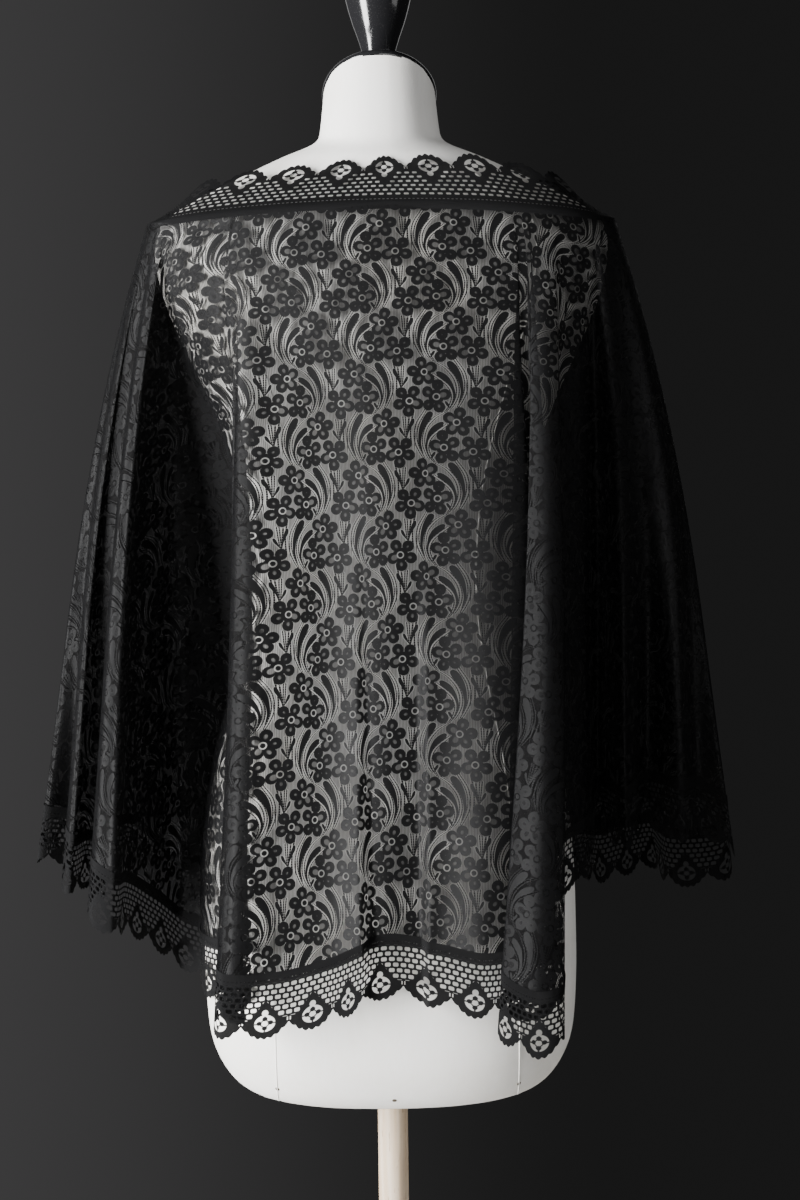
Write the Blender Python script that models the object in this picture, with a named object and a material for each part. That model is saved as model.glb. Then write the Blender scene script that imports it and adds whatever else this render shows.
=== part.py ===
"""A lace cape hung on a dress form, which stands on a round wooden foot.

Units are metres, +Z is up and the foot rests on z = 0 at the origin.  The back of
the cape faces -Y, its front faces +Y, and the shoulders lie along X.

The cape is cut as a back and a front panel, seamed down over the arms from the
shoulder tips, with a straight boat neck.  Every panel hangs in near-straight lines, or
falls, from the neck seam to the hem: the fold tables say where each ridge and
groove leaves the neck seam, where it is half way down and where it ends at the hem.
"""

import math

import bmesh
import bpy
import numpy as np
from mathutils import Matrix, Vector

# ---------------------------------------------------------------- driving sizes

FOOT_RADIUS = 0.210
FOOT_THICKNESS = 0.026
HUB_RADIUS = 0.046
HUB_HEIGHT = 0.052
POLE_RADIUS = 0.0142
FORM_BOTTOM = 0.580
SEAT = 0.0003  # gap between pieces that rest on each other

CLOTH = 0.0012  # wall of the lace panels
EDGING = 0.0016  # wall of the denser edging
SEAM_GAP = 0.0008
SKIN_GAP = 0.0030  # least air between the hanging cloth and the form
SKIN_EASE = 0.0035  # how softly the cloth lifts off where it meets the form
SHOULDER_GAP = 0.0002  # the same for the neck edging, which lies on the shoulders
SHOULDER_EASE = 0.0006
SAG = 0.0014  # most that a fold's curve may stand off the wall's straight run
ARM_SWELL = 0.007  # how far the falls over the arms swell out, a quarter way down
ARM_REACH = 0.280  # the cape's half width half way down
MID_SOFTNESS = 0.09  # share of the fall over which it turns at its mid point
END_SLOPE = 0.5  # how firmly the mid-level section leaves the overarm seams along Y

HEM_DEPTH = 0.060  # width of the edging at the hem
SCALLOP_PITCH = 0.0435
NECK_SCALLOP_PITCH = 0.0395  # the neck edging is drawn in a little over its curve
SCALLOP_DEPTH = 0.011

# Neck seam: a flattened ring round the shoulders.
NECK_HALF_WIDTH = 0.2085
NECK_BACK, NECK_FRONT = 0.0890, 0.0840
NECK_POWER = 2.6
TIP_DROP_POWER = 2.2  # how late the seam and the collar drop towards the tips
NECK_Z_TIP, NECK_Z_BACK, NECK_Z_FRONT = 1.388, 1.403, 1.384

# Scalloped edge of the neck edging, which leans in over the shoulders.
COLLAR_HALF_WIDTH = 0.182
COLLAR_BACK, COLLAR_FRONT = 0.0590, 0.0660
COLLAR_Z_TIP, COLLAR_Z_BACK, COLLAR_Z_FRONT = 1.402, 1.445, 1.430
COLLAR_POWER = 2.4

NECK_CUT_BACK_Z = 1.533  # top of the form's neck at the back
NECK_CUT_TILT = math.radians(33)
CAP_THICKNESS = 0.007
CAP_OVERHANG = 0.0035  # past the neck at its sides and front
CAP_SETBACK = 0.0110  # of the cap's rear edge from the neck's
CAP_ROUND = 0.0042

# Sections of the form.  half_width is along X, back and front are the reaches to -Y
# and +Y, and power is the superellipse's exponent: 2 is an ellipse, more is squarer.
FORM_COLUMNS = ("z", "half_width", "back", "front", "power")
FORM_SECTIONS = (
    (0.580, 0.112, 0.062, 0.058, 2.4),
    (0.587, 0.137, 0.084, 0.080, 2.4),
    (0.601, 0.154, 0.099, 0.094, 2.4),
    (0.625, 0.1665, 0.110, 0.104, 2.4),
    (0.660, 0.1725, 0.114, 0.107, 2.4),
    (0.740, 0.1735, 0.118, 0.108, 2.3),
    (0.830, 0.1700, 0.114, 0.105, 2.3),
    (0.910, 0.1560, 0.099, 0.100, 2.2),
    (0.985, 0.1350, 0.084, 0.095, 2.2),
    (1.050, 0.1225, 0.076, 0.092, 2.2),
    (1.110, 0.1240, 0.078, 0.097, 2.2),
    (1.165, 0.1340, 0.085, 0.112, 2.2),
    (1.215, 0.1510, 0.091, 0.128, 2.3),
    (1.265, 0.1730, 0.094, 0.120, 2.4),
    (1.310, 0.1930, 0.094, 0.100, 2.5),
    (1.345, 0.2020, 0.092, 0.082, 2.6),
    (1.378, 0.2025, 0.087, 0.071, 2.6),
    (1.392, 0.1960, 0.083, 0.066, 2.6),
    (1.410, 0.1650, 0.077, 0.063, 2.5),
    (1.428, 0.1270, 0.067, 0.062, 2.3),
    (1.446, 0.0880, 0.056, 0.063, 2.1),
    (1.459, 0.0680, 0.049, 0.064, 2.0),
    (1.475, 0.0590, 0.0455, 0.065, 2.0),
    (1.505, 0.0565, 0.0440, 0.066, 2.0),
    (1.570, 0.0550, 0.0430, 0.066, 2.0),
)

# Folds, from the left overarm seam to the right one.  Each fall leaves the neck seam at
# neck_x, passes its mid point half way down and ends at its hem point.
FOLD_COLUMNS = ("fold", "neck_x", "mid_x", "mid_y", "hem_x", "hem_y", "hem_z")
LEFT_OVERARM = ("left overarm", -0.2085, -0.279, +0.030, -0.325, +0.036, 0.797)
RIGHT_OVERARM = ("right overarm", +0.2085, +0.279, +0.028, +0.323, +0.030, 0.794)
BACK_FOLDS = (
    LEFT_OVERARM,
    ("outer ridge", -0.2080, -0.281, +0.002, -0.328, +0.000, 0.797),
    ("first groove", -0.2068, -0.273, -0.014, -0.300, +0.016, 0.790),
    ("outer roll left", -0.2052, -0.270, -0.030, -0.304, -0.022, 0.784),
    ("outer roll", -0.2038, -0.265, -0.038, -0.297, -0.036, 0.779),
    ("second groove left", -0.2016, -0.256, -0.031, -0.284, +0.004, 0.775),
    ("second groove", -0.1990, -0.250, -0.032, -0.271, +0.004, 0.772),
    ("elbow roll left", -0.1950, -0.245, -0.054, -0.277, -0.062, 0.768),
    ("elbow roll", -0.1915, -0.238, -0.062, -0.268, -0.082, 0.764),
    ("elbow roll right", -0.1880, -0.229, -0.052, -0.255, -0.056, 0.758),
    ("side hollow left", -0.1790, -0.212, -0.008, -0.230, +0.008, 0.730),
    ("side hollow", -0.1700, -0.190, +0.000, -0.206, +0.022, 0.706),
    ("side flat", -0.1480, -0.160, -0.046, -0.184, -0.030, 0.692),
    ("left tuck", -0.1260, -0.108, -0.109, -0.130, -0.127, 0.686),
    ("left pleat", -0.1180, -0.127, -0.120, -0.161, -0.142, 0.680),
    ("left pleat front", -0.1145, -0.122, -0.129, -0.152, -0.157, 0.675),
    ("left panel", -0.0960, -0.085, -0.122, -0.108, -0.147, 0.672),
    ("left ripple", -0.0500, -0.046, -0.114, -0.052, -0.140, 0.688),
    ("middle", -0.0050, -0.005, -0.118, -0.010, -0.148, 0.706),
    ("right ripple", +0.0480, +0.046, -0.114, +0.040, -0.138, 0.698),
    ("right panel", +0.0980, +0.100, -0.119, +0.082, -0.143, 0.690),
    ("right tuck front", +0.1200, +0.136, -0.108, +0.108, -0.135, 0.686),
    ("right tuck", +0.1250, +0.141, -0.113, +0.110, -0.146, 0.682),
    ("wide roll left", +0.1310, +0.134, -0.126, +0.095, -0.161, 0.674),
    ("wide roll", +0.1380, +0.148, -0.138, +0.121, -0.181, 0.662),
    ("wide roll right", +0.1460, +0.163, -0.124, +0.149, -0.160, 0.668),
    ("far tuck", +0.1550, +0.155, -0.096, +0.131, -0.122, 0.712),
    ("side flat right", +0.1670, +0.176, -0.056, +0.172, -0.060, 0.790),
    ("side hollow right", +0.1780, +0.192, -0.014, +0.196, +0.020, 0.814),
    ("near roll", +0.1880, +0.210, -0.058, +0.214, -0.072, 0.822),
    ("third groove", +0.1960, +0.236, -0.038, +0.241, +0.000, 0.824),
    ("far roll", +0.2020, +0.259, -0.044, +0.267, -0.056, 0.826),
    ("fourth groove", +0.2055, +0.273, -0.014, +0.293, +0.012, 0.814),
    ("outer ridge right", +0.2080, +0.280, +0.000, +0.321, -0.006, 0.800),
    RIGHT_OVERARM,
)
FRONT_FOLDS = (
    LEFT_OVERARM,
    ("outer roll", -0.2065, -0.275, +0.064, -0.316, +0.104, 0.782),
    ("outer groove", -0.2030, -0.250, +0.082, -0.268, +0.082, 0.768),
    ("elbow roll", -0.1960, -0.232, +0.118, -0.258, +0.162, 0.750),
    ("side hollow", -0.1820, -0.190, +0.116, -0.206, +0.098, 0.722),
    ("side roll", -0.1620, -0.158, +0.150, -0.174, +0.198, 0.700),
    ("bust groove", -0.1280, -0.116, +0.138, -0.120, +0.152, 0.694),
    ("bust roll", -0.0930, -0.082, +0.158, -0.080, +0.198, 0.690),
    ("left middle", -0.0460, -0.040, +0.145, -0.036, +0.168, 0.700),
    ("middle", +0.0050, +0.005, +0.151, +0.006, +0.184, 0.704),
    ("right middle", +0.0480, +0.043, +0.145, +0.044, +0.166, 0.700),
    ("bust roll right", +0.0960, +0.086, +0.158, +0.090, +0.200, 0.692),
    ("bust groove right", +0.1300, +0.120, +0.138, +0.130, +0.150, 0.696),
    ("side roll right", +0.1640, +0.162, +0.150, +0.182, +0.192, 0.730),
    ("side hollow right", +0.1840, +0.194, +0.114, +0.212, +0.096, 0.762),
    ("elbow roll right", +0.1970, +0.236, +0.116, +0.262, +0.150, 0.764),
    ("outer groove right", +0.2040, +0.252, +0.080, +0.276, +0.076, 0.764),
    ("outer roll right", +0.2070, +0.277, +0.058, +0.323, +0.084, 0.762),
    RIGHT_OVERARM,
)

ROW_SHARES = (0, 0.03, 0.075, 0.13, 0.19, 0.26, 0.36, 0.48, 0.62, 0.80, 1)
COLUMNS_PER_SCALLOP = 4
FORM_SEGMENTS = 48

LACE_BLACK = (0.012, 0.012, 0.013)
CALICO = (0.80, 0.78, 0.74)
LACQUER = (0.010, 0.010, 0.011)
BEECH = (0.62, 0.45, 0.29)


# ------------------------------------------------------------------- materials


def finish(name, colour, roughness, metallic=0.0):
    material = bpy.data.materials.new(name)
    material.use_nodes = True
    shader = material.node_tree.nodes["Principled BSDF"]
    shader.inputs["Base Color"].default_value = (*colour, 1.0)
    shader.inputs["Roughness"].default_value = roughness
    shader.inputs["Metallic"].default_value = metallic
    return material


def placed(name, bm, material, smooth_angle=math.radians(50)):
    """Turns a bmesh into a named object of the scene."""
    mesh = bpy.data.meshes.new(name)
    bm.to_mesh(mesh)
    bm.free()
    mesh.shade_smooth()
    mesh.set_sharp_from_angle(angle=smooth_angle)
    mesh.materials.append(material)
    piece = bpy.data.objects.new(name, mesh)
    bpy.context.scene.collection.objects.link(piece)
    return piece


# ---------------------------------------------------------------- smooth curves


def smooth_curve(knots, values, at, end_slopes=None):
    """Cubic through the values at the knots, each slope taken from its neighbours."""
    knots = np.asarray(knots, float)
    values = np.asarray(values, float)
    steps = np.diff(knots)[:, None]
    chords = np.diff(values, axis=0) / steps
    slopes = np.empty_like(values)
    slopes[1:-1] = (chords[:-1] * steps[1:] + chords[1:] * steps[:-1]) / (
        steps[:-1] + steps[1:]
    )
    slopes[0], slopes[-1] = chords[0], chords[-1]
    if end_slopes is not None:
        slopes[0], slopes[-1] = end_slopes
    i = np.clip(np.searchsorted(knots, at, side="right") - 1, 0, len(knots) - 2)
    span = steps[i]
    u = ((at - knots[i])[:, None]) / span
    return (
        values[i] * (1 + 2 * u) * (1 - u) ** 2
        + values[i + 1] * u**2 * (3 - 2 * u)
        + slopes[i] * span * u * (1 - u) ** 2
        + slopes[i + 1] * span * u**2 * (u - 1)
    )


def running_length(points):
    steps = np.linalg.norm(np.diff(points, axis=0), axis=1)
    return np.concatenate([[0.0], np.cumsum(steps)])


# -------------------------------------------------------------------- the form


def form_section(z):
    """half_width, back, front and power of the form at each height."""
    table = np.array(FORM_SECTIONS)
    return smooth_curve(table[:, 0], table[:, 1:], np.atleast_1d(z)).T


def form_reach(x, y, z):
    """Distance from the axis to the form's skin, in the direction of each point."""
    half_width, back, front, power = form_section(z)
    r = np.maximum(np.hypot(x, y), 1e-6)
    depth = np.where(y < 0, back, front)
    lean = (np.abs(x) / r / half_width) ** power + (np.abs(y) / r / depth) ** power
    return lean ** (-1 / power)


def off_the_form(points, gap=SKIN_GAP, ease=SKIN_EASE):
    """Moves cloth points straight out from the axis until they clear the form."""
    x, y, z = points.T
    r = np.maximum(np.hypot(x, y), 1e-6)
    least = form_reach(x, y, z) + gap + CLOTH / 2
    lifted = least + ease * np.logaddexp(0.0, (r - least) / ease)
    scale = lifted / r
    return np.stack([x * scale, y * scale, z], axis=1)


def neck_plane():
    """A point on the form's slanting neck cut, and the cut's upward normal."""
    back = -form_section(NECK_CUT_BACK_Z)[1][0]
    point = Vector((0, back, NECK_CUT_BACK_Z))
    return point, Vector((0, math.sin(NECK_CUT_TILT), math.cos(NECK_CUT_TILT)))


def make_form(calico):
    """Torso and neck as one closed body, its rings closest where it turns fastest."""
    heights = [row[0] for row in FORM_SECTIONS]
    levels = sorted(
        heights + [(a + b) / 2 for a, b in zip(heights, heights[1:]) if b - a > 0.03]
    )
    bm = bmesh.new()
    rings = []
    for z in levels:
        half_width, back, front, power = (v[0] for v in form_section(z))
        ring = []
        for k in range(FORM_SEGMENTS):
            turn = math.tau * k / FORM_SEGMENTS
            c, s = math.cos(turn), math.sin(turn)
            depth = back if s < 0 else front
            x = half_width * math.copysign(abs(c) ** (2 / power), c)
            y = depth * math.copysign(abs(s) ** (2 / power), s)
            ring.append(bm.verts.new((x, y, z)))
        rings.append(ring)
    for low, high in zip(rings, rings[1:]):
        for k in range(FORM_SEGMENTS):
            n = (k + 1) % FORM_SEGMENTS
            bm.faces.new((low[k], low[n], high[n], high[k]))
    bm.faces.new(rings[0][::-1])
    bm.faces.new(rings[-1])
    point, normal = neck_plane()
    cut = bmesh.ops.bisect_plane(
        bm,
        geom=bm.verts[:] + bm.edges[:] + bm.faces[:],
        plane_co=point,
        plane_no=normal,
        clear_outer=True,
        dist=1e-6,
    )
    edges = [g for g in cut["geom_cut"] if isinstance(g, bmesh.types.BMEdge)]
    bmesh.ops.edgeloop_fill(bm, edges=edges)
    bmesh.ops.recalc_face_normals(bm, faces=bm.faces[:])
    return placed("form_body", bm, calico)


def make_neck_cap(lacquer):
    """A rounded oval slab on the slanting cut.  Gives the middle of its underside."""
    point, normal = neck_plane()
    half_width = form_section(point.z)[0][0] + CAP_OVERHANG
    rear = point.y + CAP_SETBACK
    front = form_section(point.z)[2][0] + CAP_OVERHANG
    half_length = (front - rear) / 2 / math.cos(NECK_CUT_TILT)
    centre_y = (front + rear) / 2
    centre = Vector(
        (0, centre_y, point.z - (centre_y - point.y) * math.tan(NECK_CUT_TILT))
    )
    tilt = Matrix.Rotation(-NECK_CUT_TILT, 4, "X")
    bm = bmesh.new()
    bmesh.ops.create_circle(bm, cap_ends=True, segments=FORM_SEGMENTS, radius=1.0)
    bmesh.ops.scale(bm, vec=(half_width, half_length, 1), verts=bm.verts)
    up = bmesh.ops.extrude_face_region(bm, geom=bm.faces[:])
    top = [g for g in up["geom"] if isinstance(g, bmesh.types.BMVert)]
    bmesh.ops.translate(bm, vec=(0, 0, CAP_THICKNESS), verts=top)
    bmesh.ops.recalc_face_normals(bm, faces=bm.faces[:])
    rim = [e for e in bm.edges if all(v in top for v in e.verts)]
    bmesh.ops.bevel(
        bm, geom=rim, offset=CAP_ROUND, segments=3, profile=0.5, affect="EDGES",
    )
    bmesh.ops.translate(bm, vec=(0, 0, SEAT), verts=bm.verts)
    bmesh.ops.transform(bm, matrix=Matrix.Translation(centre) @ tilt, verts=bm.verts)
    placed("neck_cap", bm, lacquer)
    return centre


def turned(name, profile, material, steps=40):
    """A solid turned round Z.  The profile lists (radius, z) down its outer side."""
    bm = bmesh.new()
    corners = [bm.verts.new((r, 0, z)) for r, z in profile]
    for a, b in zip(corners, corners[1:]):
        bm.edges.new((a, b))
    piece = placed(name, bm, material)
    screw = piece.modifiers.new("Turn", "SCREW")
    screw.steps = screw.render_steps = steps
    screw.use_merge_vertices = True
    screw.merge_threshold = 0.0001
    screw.use_smooth_shade = True
    return piece


FINIAL = (
    # radius, height above the middle of the cap, from the domed top down
    (0.0000, 0.158),
    (0.0120, 0.1568),
    (0.0220, 0.1525),
    (0.0290, 0.1455),
    (0.0322, 0.1370),
    (0.0328, 0.1270),
    (0.0318, 0.1120),
    (0.0290, 0.0900),
    (0.0235, 0.0700),
    (0.0185, 0.0560),
    (0.0152, 0.0450),
    (0.0140, 0.0370),
    (0.0150, 0.0290),
    (0.0200, 0.0180),
    (0.0240, 0.0080),
    (0.0240, -0.0300),
    (0.0000, -0.0300),
)


def make_finial(lacquer, centre):
    """The turned knob, its foot cut on the slant so that it sits on the cap."""
    bm = bmesh.new()
    corners = [bm.verts.new((r, 0, z)) for r, z in FINIAL]
    edges = [bm.edges.new(pair) for pair in zip(corners, corners[1:])]
    bmesh.ops.spin(
        bm, geom=corners + edges, cent=(0, 0, 0), axis=(0, 0, 1),
        angle=math.tau, steps=36, use_merge=True,
    )
    bmesh.ops.remove_doubles(bm, verts=bm.verts, dist=1e-5)
    bmesh.ops.translate(bm, vec=centre, verts=bm.verts)
    _, normal = neck_plane()
    cut = bmesh.ops.bisect_plane(
        bm,
        geom=bm.verts[:] + bm.edges[:] + bm.faces[:],
        plane_co=centre + normal * (CAP_THICKNESS + 2 * SEAT),
        plane_no=-normal,
        clear_outer=True,
        dist=1e-6,
    )
    rim = [g for g in cut["geom_cut"] if isinstance(g, bmesh.types.BMEdge)]
    bmesh.ops.edgeloop_fill(bm, edges=rim)
    bmesh.ops.recalc_face_normals(bm, faces=bm.faces[:])
    return placed("finial", bm, lacquer)


def make_stand(wood):
    """Foot, hub and pole, each resting on the one below."""
    edge = FOOT_THICKNESS / 2
    turned(
        "foot",
        (
            (0.0, FOOT_THICKNESS),
            (FOOT_RADIUS - edge, FOOT_THICKNESS),
            (FOOT_RADIUS - edge * 0.29, FOOT_THICKNESS - edge * 0.29),
            (FOOT_RADIUS, FOOT_THICKNESS - edge),
            (FOOT_RADIUS, 0.004),
            (FOOT_RADIUS - 0.004, 0.0),
            (0.0, 0.0),
        ),
        wood,
        steps=64,
    )
    low = FOOT_THICKNESS + SEAT
    high = low + HUB_HEIGHT
    turned(
        "foot_hub",
        (
            (0.0, high),
            (HUB_RADIUS * 0.58, high),
            (HUB_RADIUS * 0.66, high - HUB_HEIGHT * 0.10),
            (HUB_RADIUS * 0.62, high - HUB_HEIGHT * 0.36),
            (HUB_RADIUS * 0.76, high - HUB_HEIGHT * 0.62),
            (HUB_RADIUS, low + HUB_HEIGHT * 0.18),
            (HUB_RADIUS, low),
            (0.0, low),
        ),
        wood,
    )
    turned(
        "pole",
        (
            (0.0, FORM_BOTTOM - SEAT),
            (POLE_RADIUS, FORM_BOTTOM - SEAT),
            (POLE_RADIUS, high + SEAT),
            (0.0, high + SEAT),
        ),
        wood,
        steps=32,
    )


# -------------------------------------------------------------------- the cape


def ring_angle(x, half_width, power):
    """Turn along the ring, 0 at the left tip and pi at the right, for each x."""
    share = np.clip(np.abs(x) / half_width, 0, 1) ** (power / 2)
    return np.where(x < 0, np.arccos(share), math.pi - np.arccos(share))


def ring_point(turn, half_width, depth, power, z_tip, z_middle):
    """Points on half of a flattened ring; the sign of depth picks back or front."""
    c, s = np.cos(turn), np.sin(turn)
    x = -half_width * np.sign(c) * np.abs(c) ** (2 / power)
    y = depth * np.abs(s) ** (2 / power)
    z = z_middle + (z_tip - z_middle) * (np.abs(x) / half_width) ** TIP_DROP_POWER
    return np.stack([x, y, z], axis=1)


def neck_point(turn, side):
    depth = NECK_BACK if side < 0 else NECK_FRONT
    middle = NECK_Z_BACK if side < 0 else NECK_Z_FRONT
    return ring_point(
        turn, NECK_HALF_WIDTH, side * depth, NECK_POWER, NECK_Z_TIP, middle
    )


def collar_point(turn, side):
    depth = COLLAR_BACK if side < 0 else COLLAR_FRONT
    middle = COLLAR_Z_BACK if side < 0 else COLLAR_Z_FRONT
    return ring_point(
        turn, COLLAR_HALF_WIDTH, side * depth, COLLAR_POWER, COLLAR_Z_TIP, middle
    )


class Falls:
    """One side of the cape: how each point of the neck seam falls to the hem."""

    def __init__(self, folds, side):
        self.side = side
        table = np.array([row[1:] for row in folds])
        self.turn = ring_angle(table[:, :1], NECK_HALF_WIDTH, NECK_POWER)
        self.mid, self.hem = table[:, 1:3], table[:, 3:6]
        self.knots = running_length(self.hem)
        self.fine = np.linspace(0, self.knots[-1], 4000)
        hem = self.ends(self.fine)[2]
        self.fine_length = running_length(hem)

    def ends(self, at):
        """Neck, mid and hem points of the falls at these places along the hem."""
        turn = smooth_curve(self.knots, self.turn, at)[:, 0]
        neck = neck_point(np.clip(turn, 0, math.pi), self.side)
        away = np.array([0.0, 1.0, 0.0]) * self.side  # both ends leave along Y
        lean = away[:2] * END_SLOPE
        mid = smooth_curve(self.knots, self.mid, at, (lean, -lean))
        hem = smooth_curve(self.knots, self.hem, at, (away, -away))
        middle_z = (neck[:, 2:] + hem[:, 2:]) / 2
        return neck, np.hstack([mid, middle_z]), hem

    def columns(self):
        """Evenly spaced falls, a fixed number to a scallop."""
        scallops = round(self.fine_length[-1] / SCALLOP_PITCH)
        even = np.linspace(0, self.fine_length[-1], scallops * COLUMNS_PER_SCALLOP + 1)
        return np.interp(even, self.fine_length, self.fine)

    def surface(self, at, shares):
        """Cloth points at these shares of each fall, one row of shares to a fall."""
        neck, mid, hem = (p[:, None, :] for p in self.ends(at))
        t = shares[:, :, None]
        first, second = 2 * (mid - neck), 2 * (hem - mid)
        turned = MID_SOFTNESS * np.logaddexp(0, (t - 0.5) / MID_SOFTNESS)
        grid = neck + first * t + (second - first) * turned
        swell = ARM_SWELL * t * (1 - t) ** 3 * 256 / 27  # ARM_SWELL at t = 1/4
        reach = mid[:, :, :1] / ARM_REACH
        grid[:, :, :1] += swell * reach * np.abs(reach)
        return off_the_form(grid.reshape(-1, 3)).reshape(grid.shape)

    def seam_share(self, at):
        """Share of each fall at which the panel ends and the edging begins."""
        neck, mid, hem = self.ends(at)
        length = np.linalg.norm(mid - neck, axis=1) + np.linalg.norm(hem - mid, axis=1)
        return 1 - HEM_DEPTH / length, length

    def picked(self, at):
        """Indices of the columns that the panel needs to follow its folds closely."""
        share, _ = self.seam_share(at)
        low = self.surface(at, share[:, None])[:, 0]
        kept = [0, 1]
        while kept[-1] < len(at) - 2:
            start = kept[-1]
            for end in range(min(start + 4, len(at) - 2), start, -1):
                chord = low[end] - low[start]
                chord /= np.linalg.norm(chord)
                off = low[start + 1 : end] - low[start]
                off -= np.outer(off @ chord, chord)
                if end == start + 1 or np.linalg.norm(off, axis=1).max() < SAG:
                    kept.append(end)
                    break
        return np.array([*kept, len(at) - 1])


def inset_ends(grid):
    """Takes half a seam's gap off both ends of each row."""
    for end, inner in ((0, 1), (-1, -2)):
        along = grid[inner] - grid[end]
        along /= np.linalg.norm(along, axis=1)[:, None]
        grid[end] += along * SEAM_GAP / 2
    return grid


def wall(name, grid, thickness, material):
    """A cloth wall on a grid of points, columns first, thickened to both sides."""
    columns, rows = grid.shape[:2]
    bm = bmesh.new()
    verts = [[bm.verts.new(p) for p in column] for column in grid]
    for i in range(columns - 1):
        for j in range(rows - 1):
            bm.faces.new(
                (verts[i][j], verts[i][j + 1], verts[i + 1][j + 1], verts[i + 1][j])
            )
    piece = placed(name, bm, material)
    solidify = piece.modifiers.new("Wall", "SOLIDIFY")
    solidify.thickness = thickness
    solidify.offset = 0.0
    return piece


def make_panel(name, falls, lace):
    at = falls.columns()
    at = at[falls.picked(at)]
    last, length = falls.seam_share(at)
    last -= SEAM_GAP / 2 / length
    grid = falls.surface(at, last[:, None] * np.array(ROW_SHARES))
    return wall(name, inset_ends(grid), CLOTH, lace)


def scallop(count):
    """How far the edge draws back at each column, in metres, with cusps between."""
    phase = (np.arange(count) % COLUMNS_PER_SCALLOP) / COLUMNS_PER_SCALLOP
    return SCALLOP_DEPTH * np.abs(np.cos(math.pi * phase)) ** 4


def make_hem_edging(name, falls, lace):
    """The edging at the hem, sewn to the straight runs of the panel's lower edge."""
    at = falls.columns()
    first, length = falls.seam_share(at)
    first += SEAM_GAP / 2 / length
    last = 1 - scallop(len(at)) / length
    shares = np.stack([first, (first + 2 * last) / 3, last], axis=1)
    grid = falls.surface(at, shares)
    kept = falls.picked(at)
    for axis in range(3):
        grid[:, 0, axis] = np.interp(np.arange(len(at)), kept, grid[kept, 0, axis])
    return wall(name, inset_ends(grid), EDGING, lace)


def make_neck_edging(name, side, lace):
    """The same edging at the neck, from the neck seam in over the shoulders."""
    fine = np.linspace(0, math.pi, 2000)
    length = running_length(neck_point(fine, side))
    scallops = round(length[-1] / NECK_SCALLOP_PITCH)
    count = scallops * COLUMNS_PER_SCALLOP + 1
    turn = np.interp(np.linspace(0, length[-1], count), length, fine)
    low, high = neck_point(turn, side), collar_point(turn, side)
    width = np.linalg.norm(high - low, axis=1)
    first = (SEAM_GAP + CLOTH) / 2 / width
    last = 1 - scallop(count) / width
    shares = np.stack([first, (first + last) / 2, last], axis=1)
    grid = low[:, None, :] + (high - low)[:, None, :] * shares[:, :, None]
    flat = off_the_form(grid.reshape(-1, 3), SHOULDER_GAP, SHOULDER_EASE)
    return wall(name, inset_ends(flat.reshape(grid.shape)), EDGING, lace)


def make_cape():
    lace = finish("black lace", LACE_BLACK, 0.72)
    for word, folds, side in (("back", BACK_FOLDS, -1), ("front", FRONT_FOLDS, 1)):
        falls = Falls(folds, side)
        make_panel(f"{word}_panel", falls, lace)
        make_hem_edging(f"hem_edging_{word}", falls, lace)
        make_neck_edging(f"neck_edging_{word}", side, lace)


def main():
    for old in list(bpy.data.objects):
        bpy.data.objects.remove(old)
    calico = finish("calico cover", CALICO, 0.85)
    lacquer = finish("black lacquer", LACQUER, 0.12)
    wood = finish("beech", BEECH, 0.45)
    make_form(calico)
    make_finial(lacquer, make_neck_cap(lacquer))
    make_stand(wood)
    make_cape()


main()
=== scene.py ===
"""A black lace cape hung on a dress form, laid out as a Blender add-on.

The sidebar's Cape tab lists one button for each group of pieces.  Lengths are in
metres, +Z is up, the back of the cape faces -Y and the shoulders lie along X.
"""

import math
from contextlib import contextmanager

import bpy
import numpy as np
from bpy.props import FloatProperty, FloatVectorProperty, IntProperty, PointerProperty
from mathutils import Matrix, Vector


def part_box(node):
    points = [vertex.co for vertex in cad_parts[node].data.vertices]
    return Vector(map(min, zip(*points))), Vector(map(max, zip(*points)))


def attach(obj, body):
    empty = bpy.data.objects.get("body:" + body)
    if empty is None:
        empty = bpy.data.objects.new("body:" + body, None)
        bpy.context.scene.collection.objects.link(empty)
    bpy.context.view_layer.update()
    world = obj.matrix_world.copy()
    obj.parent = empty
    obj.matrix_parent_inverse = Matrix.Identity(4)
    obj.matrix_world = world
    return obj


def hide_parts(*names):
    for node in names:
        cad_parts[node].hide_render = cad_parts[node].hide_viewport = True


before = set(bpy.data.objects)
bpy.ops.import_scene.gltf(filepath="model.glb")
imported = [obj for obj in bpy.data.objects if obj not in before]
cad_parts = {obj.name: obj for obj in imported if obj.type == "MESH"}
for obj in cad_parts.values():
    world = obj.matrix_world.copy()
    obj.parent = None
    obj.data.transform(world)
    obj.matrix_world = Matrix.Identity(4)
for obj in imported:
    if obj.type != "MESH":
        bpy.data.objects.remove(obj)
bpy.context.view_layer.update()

bl_info = {
    "name": "Lace Cape on a Dress Form",
    "version": (1, 0, 0),
    "blender": (4, 5, 0),
    "location": "3D View > Sidebar > Cape",
    "description": "Hangs a black lace cape with scalloped edgings on a dress form",
    "category": "Add Mesh",
}

# ------------------------------------------------------------ the hanging shape

CLOTH = 0.0012  # thickness
SKIN_GAP = 0.0030  # least air between the hanging cloth and the form
SKIN_EASE = 0.0035  # how softly the cloth lifts off where it meets the form
SHOULDER_GAP, SHOULDER_EASE = 0.0002, 0.0006  # the same for the neck edging
ARM_SWELL = 0.007  # how far the falls over the arms swell out, a quarter way down
ARM_REACH = 0.280  # the x at which a fall swells out in full
MID_SOFTNESS = 0.09  # share of the fall over which it turns at its mid point
END_SLOPE = 0.5  # how fast the line of mid points leaves along Y at its ends
# The flat pleat down the back: its edges, how soft they are, its depth at the hem, and
# the share of the fall that it starts at.
CREASE_EDGES, CREASE_SOFTNESS, CREASE_DEPTH, CREASE_START = (-0.022, 0.030), 0.004, 0.014, 0.35
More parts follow.
